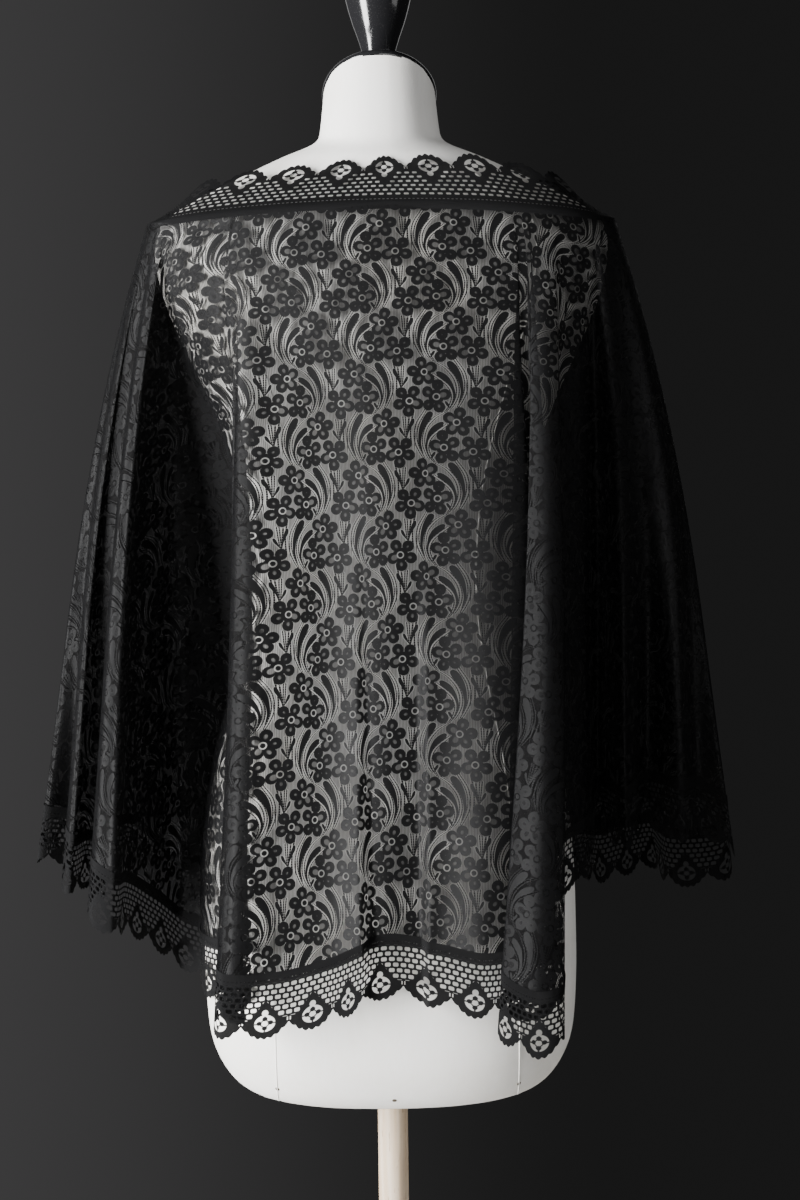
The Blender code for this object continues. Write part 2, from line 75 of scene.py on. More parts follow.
# The ripples: how many waves are added, the range of their radians per metre, and how
# far from the side seams they fade in.
RIPPLES, RIPPLE_WAVES, RIPPLE_MARGIN = 7, (18, 60), 0.05

HEM_SAMPLES, NECK_SAMPLES = 4000, 2000  # points that each line's length is taken at

NECK_HALF_WIDTH = 0.2085
NECK_BACK, NECK_FRONT = 0.0890, 0.0840
NECK_POWER = 2.6
TIP_DROP_POWER = 2.2
NECK_Z_TIP, NECK_Z_BACK, NECK_Z_FRONT = 1.388, 1.403, 1.384
COLLAR_HALF_WIDTH = 0.182
COLLAR_BACK, COLLAR_FRONT = 0.0590, 0.0660
COLLAR_POWER = 2.4
# The line of the collar's scallop tips across the back: x and z.  The front one runs
# COLLAR_DIP lower at its middle.
COLLAR_LINE = (
    (-0.182, 1.402), (-0.172, 1.411), (-0.160, 1.422), (-0.147, 1.4285),
    (-0.112, 1.4345), (-0.0735, 1.438), (-0.035, 1.442), (0.005, 1.4455),
    (0.044, 1.4465), (0.0815, 1.446), (0.1125, 1.4395), (0.150, 1.431),
    (0.162, 1.422), (0.172, 1.411), (0.182, 1.402),
)
COLLAR_DIP = 0.015

# z, half width, reach to the back, reach to the front, squareness
FORM_SECTIONS = (
    (0.580, 0.112, 0.062, 0.058, 2.4),
    (0.587, 0.137, 0.084, 0.080, 2.4),
    (0.601, 0.154, 0.099, 0.094, 2.4),
    (0.625, 0.1665, 0.110, 0.104, 2.4),
    (0.660, 0.1725, 0.114, 0.107, 2.4),
    (0.740, 0.1735, 0.118, 0.108, 2.3),
    (0.830, 0.1700, 0.114, 0.105, 2.3),
    (0.910, 0.1560, 0.099, 0.100, 2.2),
    (0.985, 0.1350, 0.084, 0.095, 2.2),
    (1.050, 0.1225, 0.076, 0.092, 2.2),
    (1.110, 0.1240, 0.078, 0.097, 2.2),
    (1.165, 0.1340, 0.085, 0.112, 2.2),
    (1.215, 0.1510, 0.091, 0.128, 2.3),
    (1.265, 0.1730, 0.094, 0.120, 2.4),
    (1.310, 0.1930, 0.094, 0.100, 2.5),
    (1.345, 0.2020, 0.092, 0.082, 2.6),
    (1.378, 0.2025, 0.087, 0.071, 2.6),
    (1.392, 0.1960, 0.083, 0.066, 2.6),
    (1.410, 0.1650, 0.077, 0.063, 2.5),
    (1.428, 0.1270, 0.067, 0.062, 2.3),
    (1.446, 0.0880, 0.056, 0.063, 2.1),
    (1.459, 0.0680, 0.049, 0.064, 2.0),
    (1.475, 0.0590, 0.0455, 0.065, 2.0),
    (1.505, 0.0565, 0.0440, 0.066, 2.0),
    (1.570, 0.0550, 0.0430, 0.066, 2.0),
)

# Each fall: x at the neck seam, x and y at its mid point, and x, y and z at the hem.
LEFT_OVERARM = (-0.2085, -0.279, +0.030, -0.325, +0.036, 0.797)
RIGHT_OVERARM = (+0.2085, +0.279, +0.028, +0.323, +0.030, 0.794)
BACK_FOLDS = (
    LEFT_OVERARM,
    (-0.2080, -0.281, +0.002, -0.328, +0.000, 0.797),
    (-0.2068, -0.273, -0.014, -0.300, +0.016, 0.790),
    (-0.2052, -0.270, -0.030, -0.304, -0.022, 0.784),
    (-0.2038, -0.265, -0.038, -0.297, -0.036, 0.779),
    (-0.2016, -0.256, -0.031, -0.284, +0.004, 0.775),
    (-0.1990, -0.250, -0.032, -0.271, +0.004, 0.772),
    (-0.1950, -0.246, -0.058, -0.279, -0.064, 0.768),
    (-0.1920, -0.241, -0.074, -0.268, -0.092, 0.765),
    (-0.1895, -0.233, -0.078, -0.253, -0.100, 0.758),
    (-0.1865, -0.226, -0.050, -0.243, -0.058, 0.748),
    (-0.1790, -0.208, +0.010, -0.222, -0.008, 0.718),
    (-0.1700, -0.184, +0.032, -0.194, +0.026, 0.686),
    (-0.1480, -0.150, +0.016, -0.174, +0.012, 0.682),
    (-0.1290, -0.129, -0.084, -0.134, -0.112, 0.690),
    (-0.1255, -0.135, -0.094, -0.156, -0.120, 0.688),
    (-0.1225, -0.129, -0.102, -0.132, -0.130, 0.685),
    (-0.1190, -0.136, -0.111, -0.158, -0.138, 0.681),
    (-0.1150, -0.129, -0.124, -0.152, -0.154, 0.679),
    (-0.0960, -0.085, -0.122, -0.108, -0.147, 0.677),
    (-0.0500, -0.046, -0.114, -0.052, -0.140, 0.688),
    (-0.0050, -0.005, -0.118, -0.010, -0.148, 0.706),
    (+0.0480, +0.046, -0.114, +0.040, -0.138, 0.698),
    (+0.0980, +0.100, -0.119, +0.082, -0.143, 0.690),
    (+0.1130, +0.130, -0.106, +0.118, -0.129, 0.695),
    (+0.1150, +0.110, -0.101, +0.103, -0.124, 0.698),
    (+0.1190, +0.148, -0.101, +0.146, -0.124, 0.698),
    (+0.1225, +0.131, -0.110, +0.113, -0.136, 0.686),
    (+0.1250, +0.148, -0.115, +0.146, -0.144, 0.692),
    (+0.1275, +0.129, -0.122, +0.104, -0.150, 0.685),
    (+0.1305, +0.121, -0.127, +0.092, -0.158, 0.682),
    (+0.1400, +0.143, -0.138, +0.128, -0.178, 0.665),
    (+0.1460, +0.153, -0.131, +0.147, -0.170, 0.668),
    (+0.1505, +0.152, -0.106, +0.145, -0.138, 0.700),
    (+0.1550, +0.150, -0.086, +0.142, -0.106, 0.752),
    (+0.1600, +0.162, -0.068, +0.156, -0.084, 0.786),
    (+0.1670, +0.174, -0.052, +0.174, -0.060, 0.790),
    (+0.1780, +0.192, -0.014, +0.196, +0.020, 0.814),
    (+0.1880, +0.210, -0.058, +0.214, -0.072, 0.822),
    (+0.1960, +0.236, -0.038, +0.241, +0.000, 0.824),
    (+0.2020, +0.259, -0.044, +0.267, -0.056, 0.826),
    (+0.2055, +0.273, -0.014, +0.293, +0.012, 0.814),
    (+0.2080, +0.280, +0.000, +0.321, -0.006, 0.800),
    RIGHT_OVERARM,
)
FRONT_FOLDS = (
    LEFT_OVERARM,
    (-0.2065, -0.275, +0.064, -0.316, +0.104, 0.782),
    (-0.2030, -0.250, +0.082, -0.268, +0.082, 0.768),
    (-0.1960, -0.232, +0.118, -0.258, +0.162, 0.750),
    (-0.1820, -0.190, +0.116, -0.206, +0.098, 0.722),
    (-0.1620, -0.158, +0.150, -0.174, +0.198, 0.700),
    (-0.1280, -0.116, +0.138, -0.120, +0.152, 0.694),
    (-0.0930, -0.082, +0.158, -0.080, +0.198, 0.690),
    (-0.0460, -0.040, +0.145, -0.036, +0.168, 0.700),
    (+0.0050, +0.005, +0.151, +0.006, +0.184, 0.704),
    (+0.0480, +0.043, +0.145, +0.044, +0.166, 0.700),
    (+0.0960, +0.086, +0.158, +0.090, +0.200, 0.692),
    (+0.1300, +0.120, +0.138, +0.130, +0.150, 0.696),
    (+0.1640, +0.162, +0.150, +0.182, +0.192, 0.722),
    (+0.1840, +0.194, +0.114, +0.212, +0.096, 0.748),
    (+0.1970, +0.236, +0.116, +0.262, +0.150, 0.748),
    (+0.2040, +0.252, +0.080, +0.276, +0.076, 0.748),
    (+0.2070, +0.277, +0.058, +0.323, +0.084, 0.750),
    RIGHT_OVERARM,
)

# ---------------------------------------------------------------- lace patterns

# One repeat of the lace, drawn on a card CARD_WIDTH wide and CARD_HEIGHT tall with y
# down.  Only the upper row is drawn: the lower one is its mirror image half a card on.
CARD_WIDTH, CARD_HEIGHT = 500, 724
MIRROR = 620  # x + mirrored x
# The rows meet on wavy lines: its middle height, its swing, and the x where the upper
# row reaches lowest.
FLOWER_EDGE = (492, 62, 440)
STROKE_EDGE = (455, 18, 200)

# centre, then the middles of the petals
FLOWERS = (
    ((418, 183), ((440, 114), (496, 176), (461, 240), (384, 233), (369, 150))),
    ((333, 362), ((324, 276), (396, 326), (389, 421), (314, 436), (276, 346))),
    ((520, 390), ((490, 322), (574, 330), (592, 412), (527, 464), (466, 412))),
)
# y, x and half width down each solid plume and bud
PLUMES = (
    ((104, 245, 0), (110, 243, 15), (124, 237, 27), (148, 224, 32), (180, 205, 29),
     (215, 186, 22), (250, 173, 16), (290, 166, 12), (330, 165, 9), (370, 175, 6),
     (410, 190, 0)),
    ((178, 322, 0), (184, 317, 16), (198, 305, 28), (215, 290, 33), (240, 266, 27),
     (265, 244, 18), (295, 228, 12), (330, 217, 9), (365, 214, 6), (400, 220, 4),
     (428, 230, 0)),
    ((153, 624, 0), (163, 621, 11), (188, 613, 15), (210, 603, 12), (235, 592, 8),
     (260, 585, 5), (290, 578, 3)),
    ((213, 532, 0), (222, 535, 9), (243, 543, 11), (262, 553, 7), (282, 565, 3),
     (294, 572, 0)),
    ((392, 273, 0), (401, 269, 9), (414, 263, 11), (428, 256, 8), (444, 251, 0)),
    ((240, 640, 0), (290, 634, 3), (340, 630, 3), (395, 628, 0)),
)
# The same for the fine lines, each a pair of stitched threads
STITCHED = (
    ((84, 216, 12), (104, 204, 12), (140, 180, 13), (180, 157, 13), (220, 144, 12),
     (260, 138, 12), (300, 138, 12), (340, 146, 12), (380, 162, 11), (432, 190, 9)),
    ((114, 334, 13), (130, 306, 14), (150, 276, 14), (180, 247, 13), (220, 217, 13),
     (260, 200, 12), (300, 192, 12), (340, 193, 12), (380, 203, 11), (440, 236, 9)),
    ((202, 352, 13), (222, 327, 14), (248, 294, 14), (275, 263, 13), (305, 241, 12),
     (335, 230, 11), (365, 227, 10), (400, 234, 10), (440, 252, 9), (462, 268, 8)),
    ((138, 562, 10), (180, 565, 10), (220, 567, 9), (290, 573, 6)),
    ((150, 595, 4), (200, 589, 4), (240, 583, 4), (290, 577, 4)),
    ((95, 128, 4), (180, 112, 4), (260, 104, 4), (330, 108, 4)),
)
PETAL = 40.0  # radius of a petal
HEART, HEART_RING = 53.0, 21.0  # radius of a flower's heart, and of the ring in it
STITCH = 8.5  # half the length of a stitch in the fine lines
STROKE_TOP, STROKE_BOTTOM = 70, 480  # the strokes' curves run between these
STROKE_LEFT, STROKE_RIGHT = 80, 680
STROKE_TALL, STROKE_WIDE = STROKE_BOTTOM - STROKE_TOP, STROKE_RIGHT - STROKE_LEFT
WIDEST_STROKE, OFF_STROKE = 40, -12  # the range of half widths that the curves hold
STROKE_FULL = WIDEST_STROKE - OFF_STROKE

SCALLOP_BUMPS = 7
# How far the edging's edge draws back between the tip (0) and the cusp (0.5), as shares
# of the scallop's pitch.
SCALLOP_EDGE = (
    (0.00, 0.000), (0.06, 0.004), (0.12, 0.015), (0.18, 0.034), (0.24, 0.064),
    (0.30, 0.104), (0.35, 0.145), (0.40, 0.190), (0.44, 0.226), (0.47, 0.248),
    (0.50, 0.262),
)


def size_setting(name, description, default, least, most):
    return FloatProperty(
        name=name, description=description, default=default, min=least, max=most,
        subtype="DISTANCE",
    )


def colour_setting(name, description, default):
    return FloatVectorProperty(
        name=name, description=description, default=default, subtype="COLOR", size=3,
        min=0, max=1,
    )


class LaceSettings(bpy.types.PropertyGroup):
    repeat_width: size_setting(
        "Repeat width", "Width of one repeat of the flowered lace", 0.0635, 0.02, 0.2
    )
    repeat_height: size_setting(
        "Repeat height", "Height of one repeat of the flowered lace", 0.0841, 0.02, 0.3
    )
    drag: FloatProperty(
        name="Drag", description="How much longer the pattern hangs towards the hem",
        default=0.115, min=0, max=0.5,
    )
    tilt: FloatProperty(
        name="Tilt", description="How far the pattern leans as it comes down",
        default=0.02, min=-0.5, max=0.5, subtype="ANGLE",
    )
    motif_colour: colour_setting(
        "Motif", "Thread of the flowers and plumes", (0.0028, 0.0028, 0.0031)
    )
    # the net's thread is black like the motif's; its lighter grey is a painted sheen of the
    # glossy thread
    net_colour_and_sheen: colour_setting(
        "Net", "Thread of the fine net between the flowers", (0.0080, 0.0078, 0.0080)
    )
    net_cover: FloatProperty(
        name="Net cover", description="Share of the ground that the net's thread hides",
        default=0.63, min=0, max=1, subtype="FACTOR",
    )
    ripple: size_setting(
        "Ripple", "Height of the small ripples between the folds", 0.0016, 0, 0.005
    )


class EdgingSettings(bpy.types.PropertyGroup):
    depth: size_setting(
        "Depth", "Width of the edging, seam to scallop tip", 0.060, 0.03, 0.1
    )
    pitch: size_setting(
        "Scallop", "Length of one scallop of the hem", 0.0440, 0.02, 0.1
    )
    neck_pitch: size_setting(
        "Neck scallop", "Length of one scallop round the neck", 0.0460, 0.02, 0.1
    )
    thread_colour: colour_setting(
        "Thread", "Thread of the edging", (0.0055, 0.0055, 0.0058)
    )


class FormSettings(bpy.types.PropertyGroup):
    calico_colour: colour_setting(
        "Cover", "Cotton cover of the form", (0.84, 0.83, 0.805)
    )
    seam_height: size_setting(
        "Seam", "Radius of the welt along each seam of the cover", 0.0007, 0.0002, 0.003
    )
    tack_radius: size_setting(
        "Tack", "Radius of the tacks that hold the cover's lower edge", 0.0021, 0.001, 0.01
    )


class StandSettings(bpy.types.PropertyGroup):
    beech_colour: colour_setting(
        "Beech", "Pale wood of the pole and foot", (0.66, 0.55, 0.43)
    )
    lacquer_colour: colour_setting(
        "Lacquer", "Gloss lacquer of the knob and the neck cap", (0.010, 0.010, 0.011)
    )
    sides: IntProperty(
        name="Sides", description="Facets round each turned piece",
        default=96, min=24, max=256,
    )


class StageSettings(bpy.types.PropertyGroup):
    floor_radius: size_setting(
        "Floor", "Radius of the pale floor under the form", 0.90, 0.3, 5
    )
    backdrop_left: colour_setting(
        "Backdrop, Left", "Plain grey light from the left", (0.056, 0.055, 0.056)
    )
    backdrop_right: colour_setting(
        "Backdrop, Right", "Plain grey light from the right", (0.012, 0.012, 0.012)
    )


# -------------------------------------------------------------- shape functions


def smooth_curve(knots, values, at, end_slopes=None):
    """Cubic through the values at the knots, each slope taken from its neighbours."""
    knots = np.asarray(knots, float)
    values = np.asarray(values, float)
    steps = np.diff(knots)[:, None]
    chords = np.diff(values, axis=0) / steps
    slopes = np.empty_like(values)
    slopes[1:-1] = (chords[:-1] * steps[1:] + chords[1:] * steps[:-1]) / (
        steps[:-1] + steps[1:]
    )
    slopes[0], slopes[-1] = chords[0], chords[-1]
    if end_slopes is not None:
        slopes[0], slopes[-1] = end_slopes
    i = np.clip(np.searchsorted(knots, at, side="right") - 1, 0, len(knots) - 2)
    span = steps[i]
    u = (at - knots[i])[:, None] / span
    return (
        values[i] * (1 + 2 * u) * (1 - u) ** 2
        + values[i + 1] * u**2 * (3 - 2 * u)
        + slopes[i] * span * u * (1 - u) ** 2
        + slopes[i + 1] * span * u**2 * (u - 1)
    )


def ramp(value, start, end):
    """0 up to start, 1 from end on, and smooth between."""
    share = np.clip((value - start) / (end - start), 0, 1)
    return share * share * (3 - 2 * share)


def running_sum(steps):
    """The sum of the steps up to each place along the last axis, from 0."""
    return np.insert(np.cumsum(steps, axis=-1), 0, 0.0, axis=-1)


def running_length(points):
    return running_sum(np.linalg.norm(np.diff(points, axis=0), axis=1))


def form_section(z):
    table = np.array(FORM_SECTIONS)
    return smooth_curve(table[:, 0], table[:, 1:], np.atleast_1d(z)).T


def off_the_form(points, gap=SKIN_GAP, ease=SKIN_EASE):
    """Moves cloth points straight out from the axis until they clear the form."""
    x, y, z = points.T
    half_width, back, front, power = form_section(z)
    r = np.maximum(np.hypot(x, y), 1e-6)
    depth = np.where(y < 0, back, front)
    lean = (np.abs(x) / r / half_width) ** power + (np.abs(y) / r / depth) ** power
    least = lean ** (-1 / power) + gap + CLOTH / 2
    lifted = least + ease * np.logaddexp(0.0, (r - least) / ease)
    scale = lifted / r
    return np.stack([x * scale, y * scale, z], axis=1)


def ring_angle(x, half_width, power):
    share = np.clip(np.abs(x) / half_width, 0, 1) ** (power / 2)
    return np.where(x < 0, np.arccos(share), math.pi - np.arccos(share))


def ring_point(turn, half_width, depth, power, z_tip=0.0, z_middle=0.0):
    """Points on half of a flattened ring; the sign of depth picks back or front."""
    c, s = np.cos(turn), np.sin(turn)
    x = -half_width * np.sign(c) * np.abs(c) ** (2 / power)
    y = depth * np.abs(s) ** (2 / power)
    z = z_middle + (z_tip - z_middle) * (np.abs(x) / half_width) ** TIP_DROP_POWER
    return np.stack([x, y, z], axis=1)


def neck_point(turn, side):
    depth, middle = (NECK_BACK, NECK_Z_BACK) if side < 0 else (NECK_FRONT, NECK_Z_FRONT)
    return ring_point(
        turn, NECK_HALF_WIDTH, side * depth, NECK_POWER, NECK_Z_TIP, middle
    )


def collar_point(turn, side):
    depth = COLLAR_BACK if side < 0 else COLLAR_FRONT
    points = ring_point(turn, COLLAR_HALF_WIDTH, side * depth, COLLAR_POWER)
    line = np.array(COLLAR_LINE)
    points[:, 2] = smooth_curve(line[:, 0], line[:, 1:], points[:, 0])[:, 0]
    if side > 0:
        points[:, 2] -= COLLAR_DIP * (1 - (points[:, 0] / COLLAR_HALF_WIDTH) ** 2)
    return points


def grid_normals(grid, side):
    """Unit normals of a grid of points, turned to the outer side of the cloth."""
    along = np.gradient(grid, axis=0)
    down = np.gradient(grid, axis=1)
    normals = np.cross(along, down)
    normals /= np.maximum(np.linalg.norm(normals, axis=2), 1e-9)[:, :, None]
    return normals * (side if normals[:, :, 1].mean() > 0 else -side)


class Falls:
    """One side of the cape: how each point of the neck seam falls to the hem."""

    def __init__(self, folds, side, ripple=0.0):
        self.side, self.ripple = side, ripple
        table = np.array(folds)
        self.turn = ring_angle(table[:, :1], NECK_HALF_WIDTH, NECK_POWER)
        self.mid, self.hem = table[:, 1:3], table[:, 3:6]
        self.knots = running_length(self.hem)
        self.fine = np.linspace(0, self.knots[-1], HEM_SAMPLES)
        self.fine_length = running_length(self.ends(self.fine)[2])
        rng = np.random.default_rng(7 if side < 0 else 8)
        self.waves = [
            (rng.uniform(*RIPPLE_WAVES), rng.uniform(0, math.tau), rng.uniform(0.5, 1.0))
            for _ in range(RIPPLES)
        ]

    def ends(self, at):
        """Neck, mid and hem points of the falls at these places along the hem."""
        turn = smooth_curve(self.knots, self.turn, at)[:, 0]
        neck = neck_point(np.clip(turn, 0, math.pi), self.side)
        away = np.array([0.0, 1.0, 0.0]) * self.side  # both ends leave along Y
        lean = away[:2] * END_SLOPE
        mid = smooth_curve(self.knots, self.mid, at, (lean, -lean))
        hem = smooth_curve(self.knots, self.hem, at, (away, -away))
        middle_z = (neck[:, 2:] + hem[:, 2:]) / 2
        return neck, np.hstack([mid, middle_z]), hem

    def at_lengths(self, lengths):
        return np.interp(lengths, self.fine_length, self.fine)

    def surface(self, at, shares):
        """Cloth points at these shares of each fall, one row of shares to a fall."""
        neck, mid, hem = (p[:, None, :] for p in self.ends(at))
        t = shares[:, :, None]
        first, second = 2 * (mid - neck), 2 * (hem - mid)
        turned = MID_SOFTNESS * np.logaddexp(0, (t - 0.5) / MID_SOFTNESS)
        grid = neck + first * t + (second - first) * turned
        swell = ARM_SWELL * t * (1 - t) ** 3 * 256 / 27  # ARM_SWELL at t = 1/4
        reach = mid[:, :, :1] / ARM_REACH
        grid[:, :, :1] += swell * reach * np.abs(reach)
        if self.ripple and grid.shape[1] > 1:
            grid += self.rippled(at, shares)[:, :, None] * grid_normals(grid, self.side)
        if self.side < 0:
            left, right = (
                ramp(grid[:, :, 0], x - CREASE_SOFTNESS, x + CREASE_SOFTNESS)
                for x in CREASE_EDGES
            )
            pressed = CREASE_DEPTH * (left - right)
            grid[:, :, 1] += pressed * ramp(shares, CREASE_START, 1.0)
        return off_the_form(grid.reshape(-1, 3)).reshape(grid.shape)

    def rippled(self, at, shares):
        """Small soft ripples between the folds, deeper towards the hem."""
        length = np.interp(at, self.fine, self.fine_length)
        edge = np.clip(np.minimum(length, length[-1] - length) / RIPPLE_MARGIN, 0, 1)
        total = sum(
            weight * np.sin(length[:, None] * wave + start + 1.3 * shares * weight)
            for wave, start, weight in self.waves
        )
        return self.ripple * total / 2 * shares**1.2 * edge[:, None]

    def edge_share(self, at, depth):
        """Share of each fall that lies this far above the hem, and each fall's length."""
        neck, mid, hem = self.ends(at)
        length = np.linalg.norm(mid - neck, axis=1) + np.linalg.norm(hem - mid, axis=1)
        return 1 - depth / length, length


def flat_cut(grid, drag=0.0, tilt=0.0):
    """The cloth of a grid laid flat: each fall is straight and leans by its flare.

    drag draws the lower rows together, so that a pattern laid on them hangs longer,
    and tilt leans them all.
    """
    down = np.linalg.norm(np.diff(grid, axis=1), axis=2)
    length = running_sum(down)
    top = np.linalg.norm(np.diff(grid[:, 0], axis=0), axis=1)
    low = np.linalg.norm(np.diff(grid[:, -1], axis=0), axis=1)
    lean = running_sum((low - top) / length[1:, -1])
    middle = np.argmin(np.abs(grid[:, 0, 0]))
    lean -= lean[middle] + tilt
    half = (lean[1:] + lean[:-1]) / 2
    length = length * (1 - drag * length)
    x, y = running_sum(top * np.cos(half)), running_sum(top * np.sin(half))
    across = (x - x[middle])[:, None] + length * np.sin(lean)[:, None]
    up = (y - y[middle])[:, None] - length * np.cos(lean)[:, None]
    return np.stack([across, up], axis=2)


# ---------------------------------------------------------------- node formulas


class Wire:
    """A value that a node gives out; the usual signs add the node that works them out."""

    def __init__(self, formula, socket):
        self.formula, self.socket = formula, socket

    def __add__(self, other):
        return self.formula.sum("ADD", self, other)

    def __sub__(self, other):
        return self.formula.sum("SUBTRACT", self, other)

    def __rsub__(self, other):
        return self.formula.sum("SUBTRACT", other, self)

    def __mul__(self, other):
        return self.formula.sum("MULTIPLY", self, other)

    def __abs__(self):
        return self.formula.sum("ABSOLUTE", self)


class Formula:
    """A new material or world and its node tree, built with one call to a node."""

    def __init__(self, name, kind="materials"):
        self.owner = getattr(bpy.data, kind).new(name)
        self.owner.use_nodes = True
        self.tree = self.owner.node_tree
        self.count = 0

    def add(self, kind, **settings):
        node = self.tree.nodes.new(kind)
        node.location = (200 * (self.count % 16) - 3400, 200 * (self.count // 16))
        self.count += 1
        for name, value in settings.items():
            setattr(node, name, value)
        return node

    def node(self, kind, inputs=(), output=0, **settings):
        node = self.add(kind, **settings)
        named_inputs = inputs if isinstance(inputs, dict) else dict(enumerate(inputs))
        for place, value in named_inputs.items():
            self.put(node.inputs[place], value)
        return Wire(self, node.outputs[output])

    def put(self, socket, value):
        if isinstance(value, Wire):
            self.tree.links.new(value.socket, socket)
        else:
            socket.default_value = value

    def sum(self, operation, *values):
        return self.node("ShaderNodeMath", values, operation=operation)

    def vector(self, operation, *values, output=0):
        return self.node("ShaderNodeVectorMath", values, output, operation=operation)

    def distance(self, point, place):
        return self.vector("DISTANCE", point, (*place, 0.0), output=1)

    def join(self, x, y, z=0.0):
        return self.node("ShaderNodeCombineXYZ", (x, y, z))

    def split(self, vector):
        node = self.add("ShaderNodeSeparateXYZ")
        self.put(node.inputs[0], vector)
        return [Wire(self, socket) for socket in node.outputs]

    def folded(self, operation, values):
        """The least or the most of several values, two at a time."""
        found = values[0]
        for value in values[1:]:
            found = self.sum(operation, found, value)
        return found

    def least(self, *values):
        return self.folded("MINIMUM", values)

    def most(self, *values):
        return self.folded("MAXIMUM", values)

    def fade(self, value, start, end, low=0.0, high=1.0, kind="SMOOTHSTEP"):
        """low up to start, high from end on, and smooth between."""
        return self.node(
            "ShaderNodeMapRange", (value, start, end, low, high), interpolation_type=kind
        )

    def slide(self, value, start, end, low, high):
        """The same with a straight line between."""
        return self.fade(value, start, end, low, high, kind="LINEAR")

    def blend(self, share, first, second):
        return self.node(
            "ShaderNodeMix", {0: share, 6: first, 7: second}, 2, data_type="RGBA"
        )

    def map(self, name):
        return self.node("ShaderNodeUVMap", uv_map=name)

    def place(self):
        return self.node("ShaderNodeTexCoord", output=3)

    def noise(self, vector, scale, detail=2.0, roughness=0.5):
        return self.node(
            "ShaderNodeTexNoise",
            {"Vector": vector, "Scale": scale, "Detail": detail, "Roughness": roughness},
        )

    def waves(self, vector, scale, distortion, direction):
        return self.node(
            "ShaderNodeTexWave",
            {"Vector": vector, "Scale": scale, "Distortion": distortion, "Detail": 1.0},
            output=1, wave_type="BANDS", bands_direction=direction,
        )

    def curves(self, value, tables):
        """Three curves read at one value from 0 to 1, as the parts of a vector."""
        node = self.add("ShaderNodeRGBCurve")
        node.mapping.extend = "HORIZONTAL"
        for curve, table in zip(node.mapping.curves, tables):
            for place, height in table[1:-1]:
                curve.points.new(place, height)
            curve.points[0].location = table[0]
            curve.points[-1].location = table[-1]
        node.mapping.update()
        self.put(node.inputs["Color"], value)
        return Wire(self, node.outputs[0])

    def bump(self, height, strength, distance):
        return self.node(
            "ShaderNodeBump",
            {"Height": height, "Strength": strength, "Distance": distance},
        )

    def finish(self, shader="Principled BSDF", **sockets):
        for name, value in sockets.items():
            title = name.replace("_", " ").title().replace("Ior", "IOR")
            self.put(self.tree.nodes[shader].inputs[title], value)
        return self.owner


def opaque(colour, *shares):
    """The colour with full alpha, its parts multiplied by the shares if given."""
    parts = [part * share for part, share in zip(colour, shares)] if shares else colour
    return (*parts, 1.0)


LACE_MAP = "OFBake"  # name of the map that lays the patterns, counted in repeats of them
FAR = 5e3  # beyond the card, so that nothing wraps down it
FULL_COVER = 0.995  # alpha of solid thread


def lace_row(lace, x, y, edge):
    """Folds the card onto its upper row, along rows that meet on this wavy edge."""
    middle, swing, crest = edge
    turns = math.tau / CARD_WIDTH
    rows = []
    for number, lowest in enumerate((crest, MIRROR - crest)):
        angle = lace.sum("MULTIPLY_ADD", x, turns, -lowest * turns)
        line = lace.sum("MULTIPLY_ADD", lace.sum("COSINE", angle), -swing, y)
        start = middle / CARD_HEIGHT + number / 2
        rows.append(
            lace.sum("FLOOR", lace.sum("MULTIPLY_ADD", line, 1 / CARD_HEIGHT, -start))
        )
    row = rows[0] + rows[1] + 2.0
    lower = lace.sum("FLOORED_MODULO", row, 2.0)
    mirrored = lace.sum("MULTIPLY_ADD", x, -2.0, MIRROR)
    return (
        lace.sum("MULTIPLY_ADD", lower, mirrored, x),
        lace.sum("MULTIPLY_ADD", row, -CARD_HEIGHT / 2, y),
    )


def stroke_curves(strokes):
    """Curve tables for the middles and half widths of three strokes."""
    middles, widths = [], []
    for stroke in strokes:
        at = [(y - STROKE_TOP) / STROKE_TALL for y, _, _ in stroke]
        middle = [(x - STROKE_LEFT) / STROKE_WIDE for _, x, _ in stroke]
        inside = [(half - OFF_STROKE) / STROKE_FULL for _, _, half in stroke]
        middles.append(list(zip(at, middle)))
        widths.append([(at[0] - 0.02, 0.0), *zip(at, inside), (at[-1] + 0.02, 0.0)])
    return middles, widths


def strokes_inside(lace, x, y, strokes):
    """How far inside the nearest of these strokes each point of the row lies."""
    reach = CARD_WIDTH / 2
    down = lace.sum("MULTIPLY_ADD", y, 1 / STROKE_TALL, -STROKE_TOP / STROKE_TALL)
    side = STROKE_LEFT - x
    sides = lace.join(side, side, side)
    found = None
    for first in range(0, len(strokes), 3):
        middles, widths = stroke_curves(strokes[first:first + 3])
        middle, half = lace.curves(down, middles), lace.curves(down, widths)
        off = lace.vector("MULTIPLY_ADD", middle, (STROKE_WIDE,) * 3, sides)
        off = lace.vector("WRAP", off, (reach,) * 3, (-reach,) * 3)
        inside = lace.vector(
            "MULTIPLY_ADD", half, (STROKE_FULL,) * 3, (OFF_STROKE,) * 3
        )
        inside = lace.vector("SUBTRACT", inside, lace.vector("ABSOLUTE", off))
        found = inside if found is None else lace.vector("MAXIMUM", found, inside)
    return lace.most(*lace.split(found))


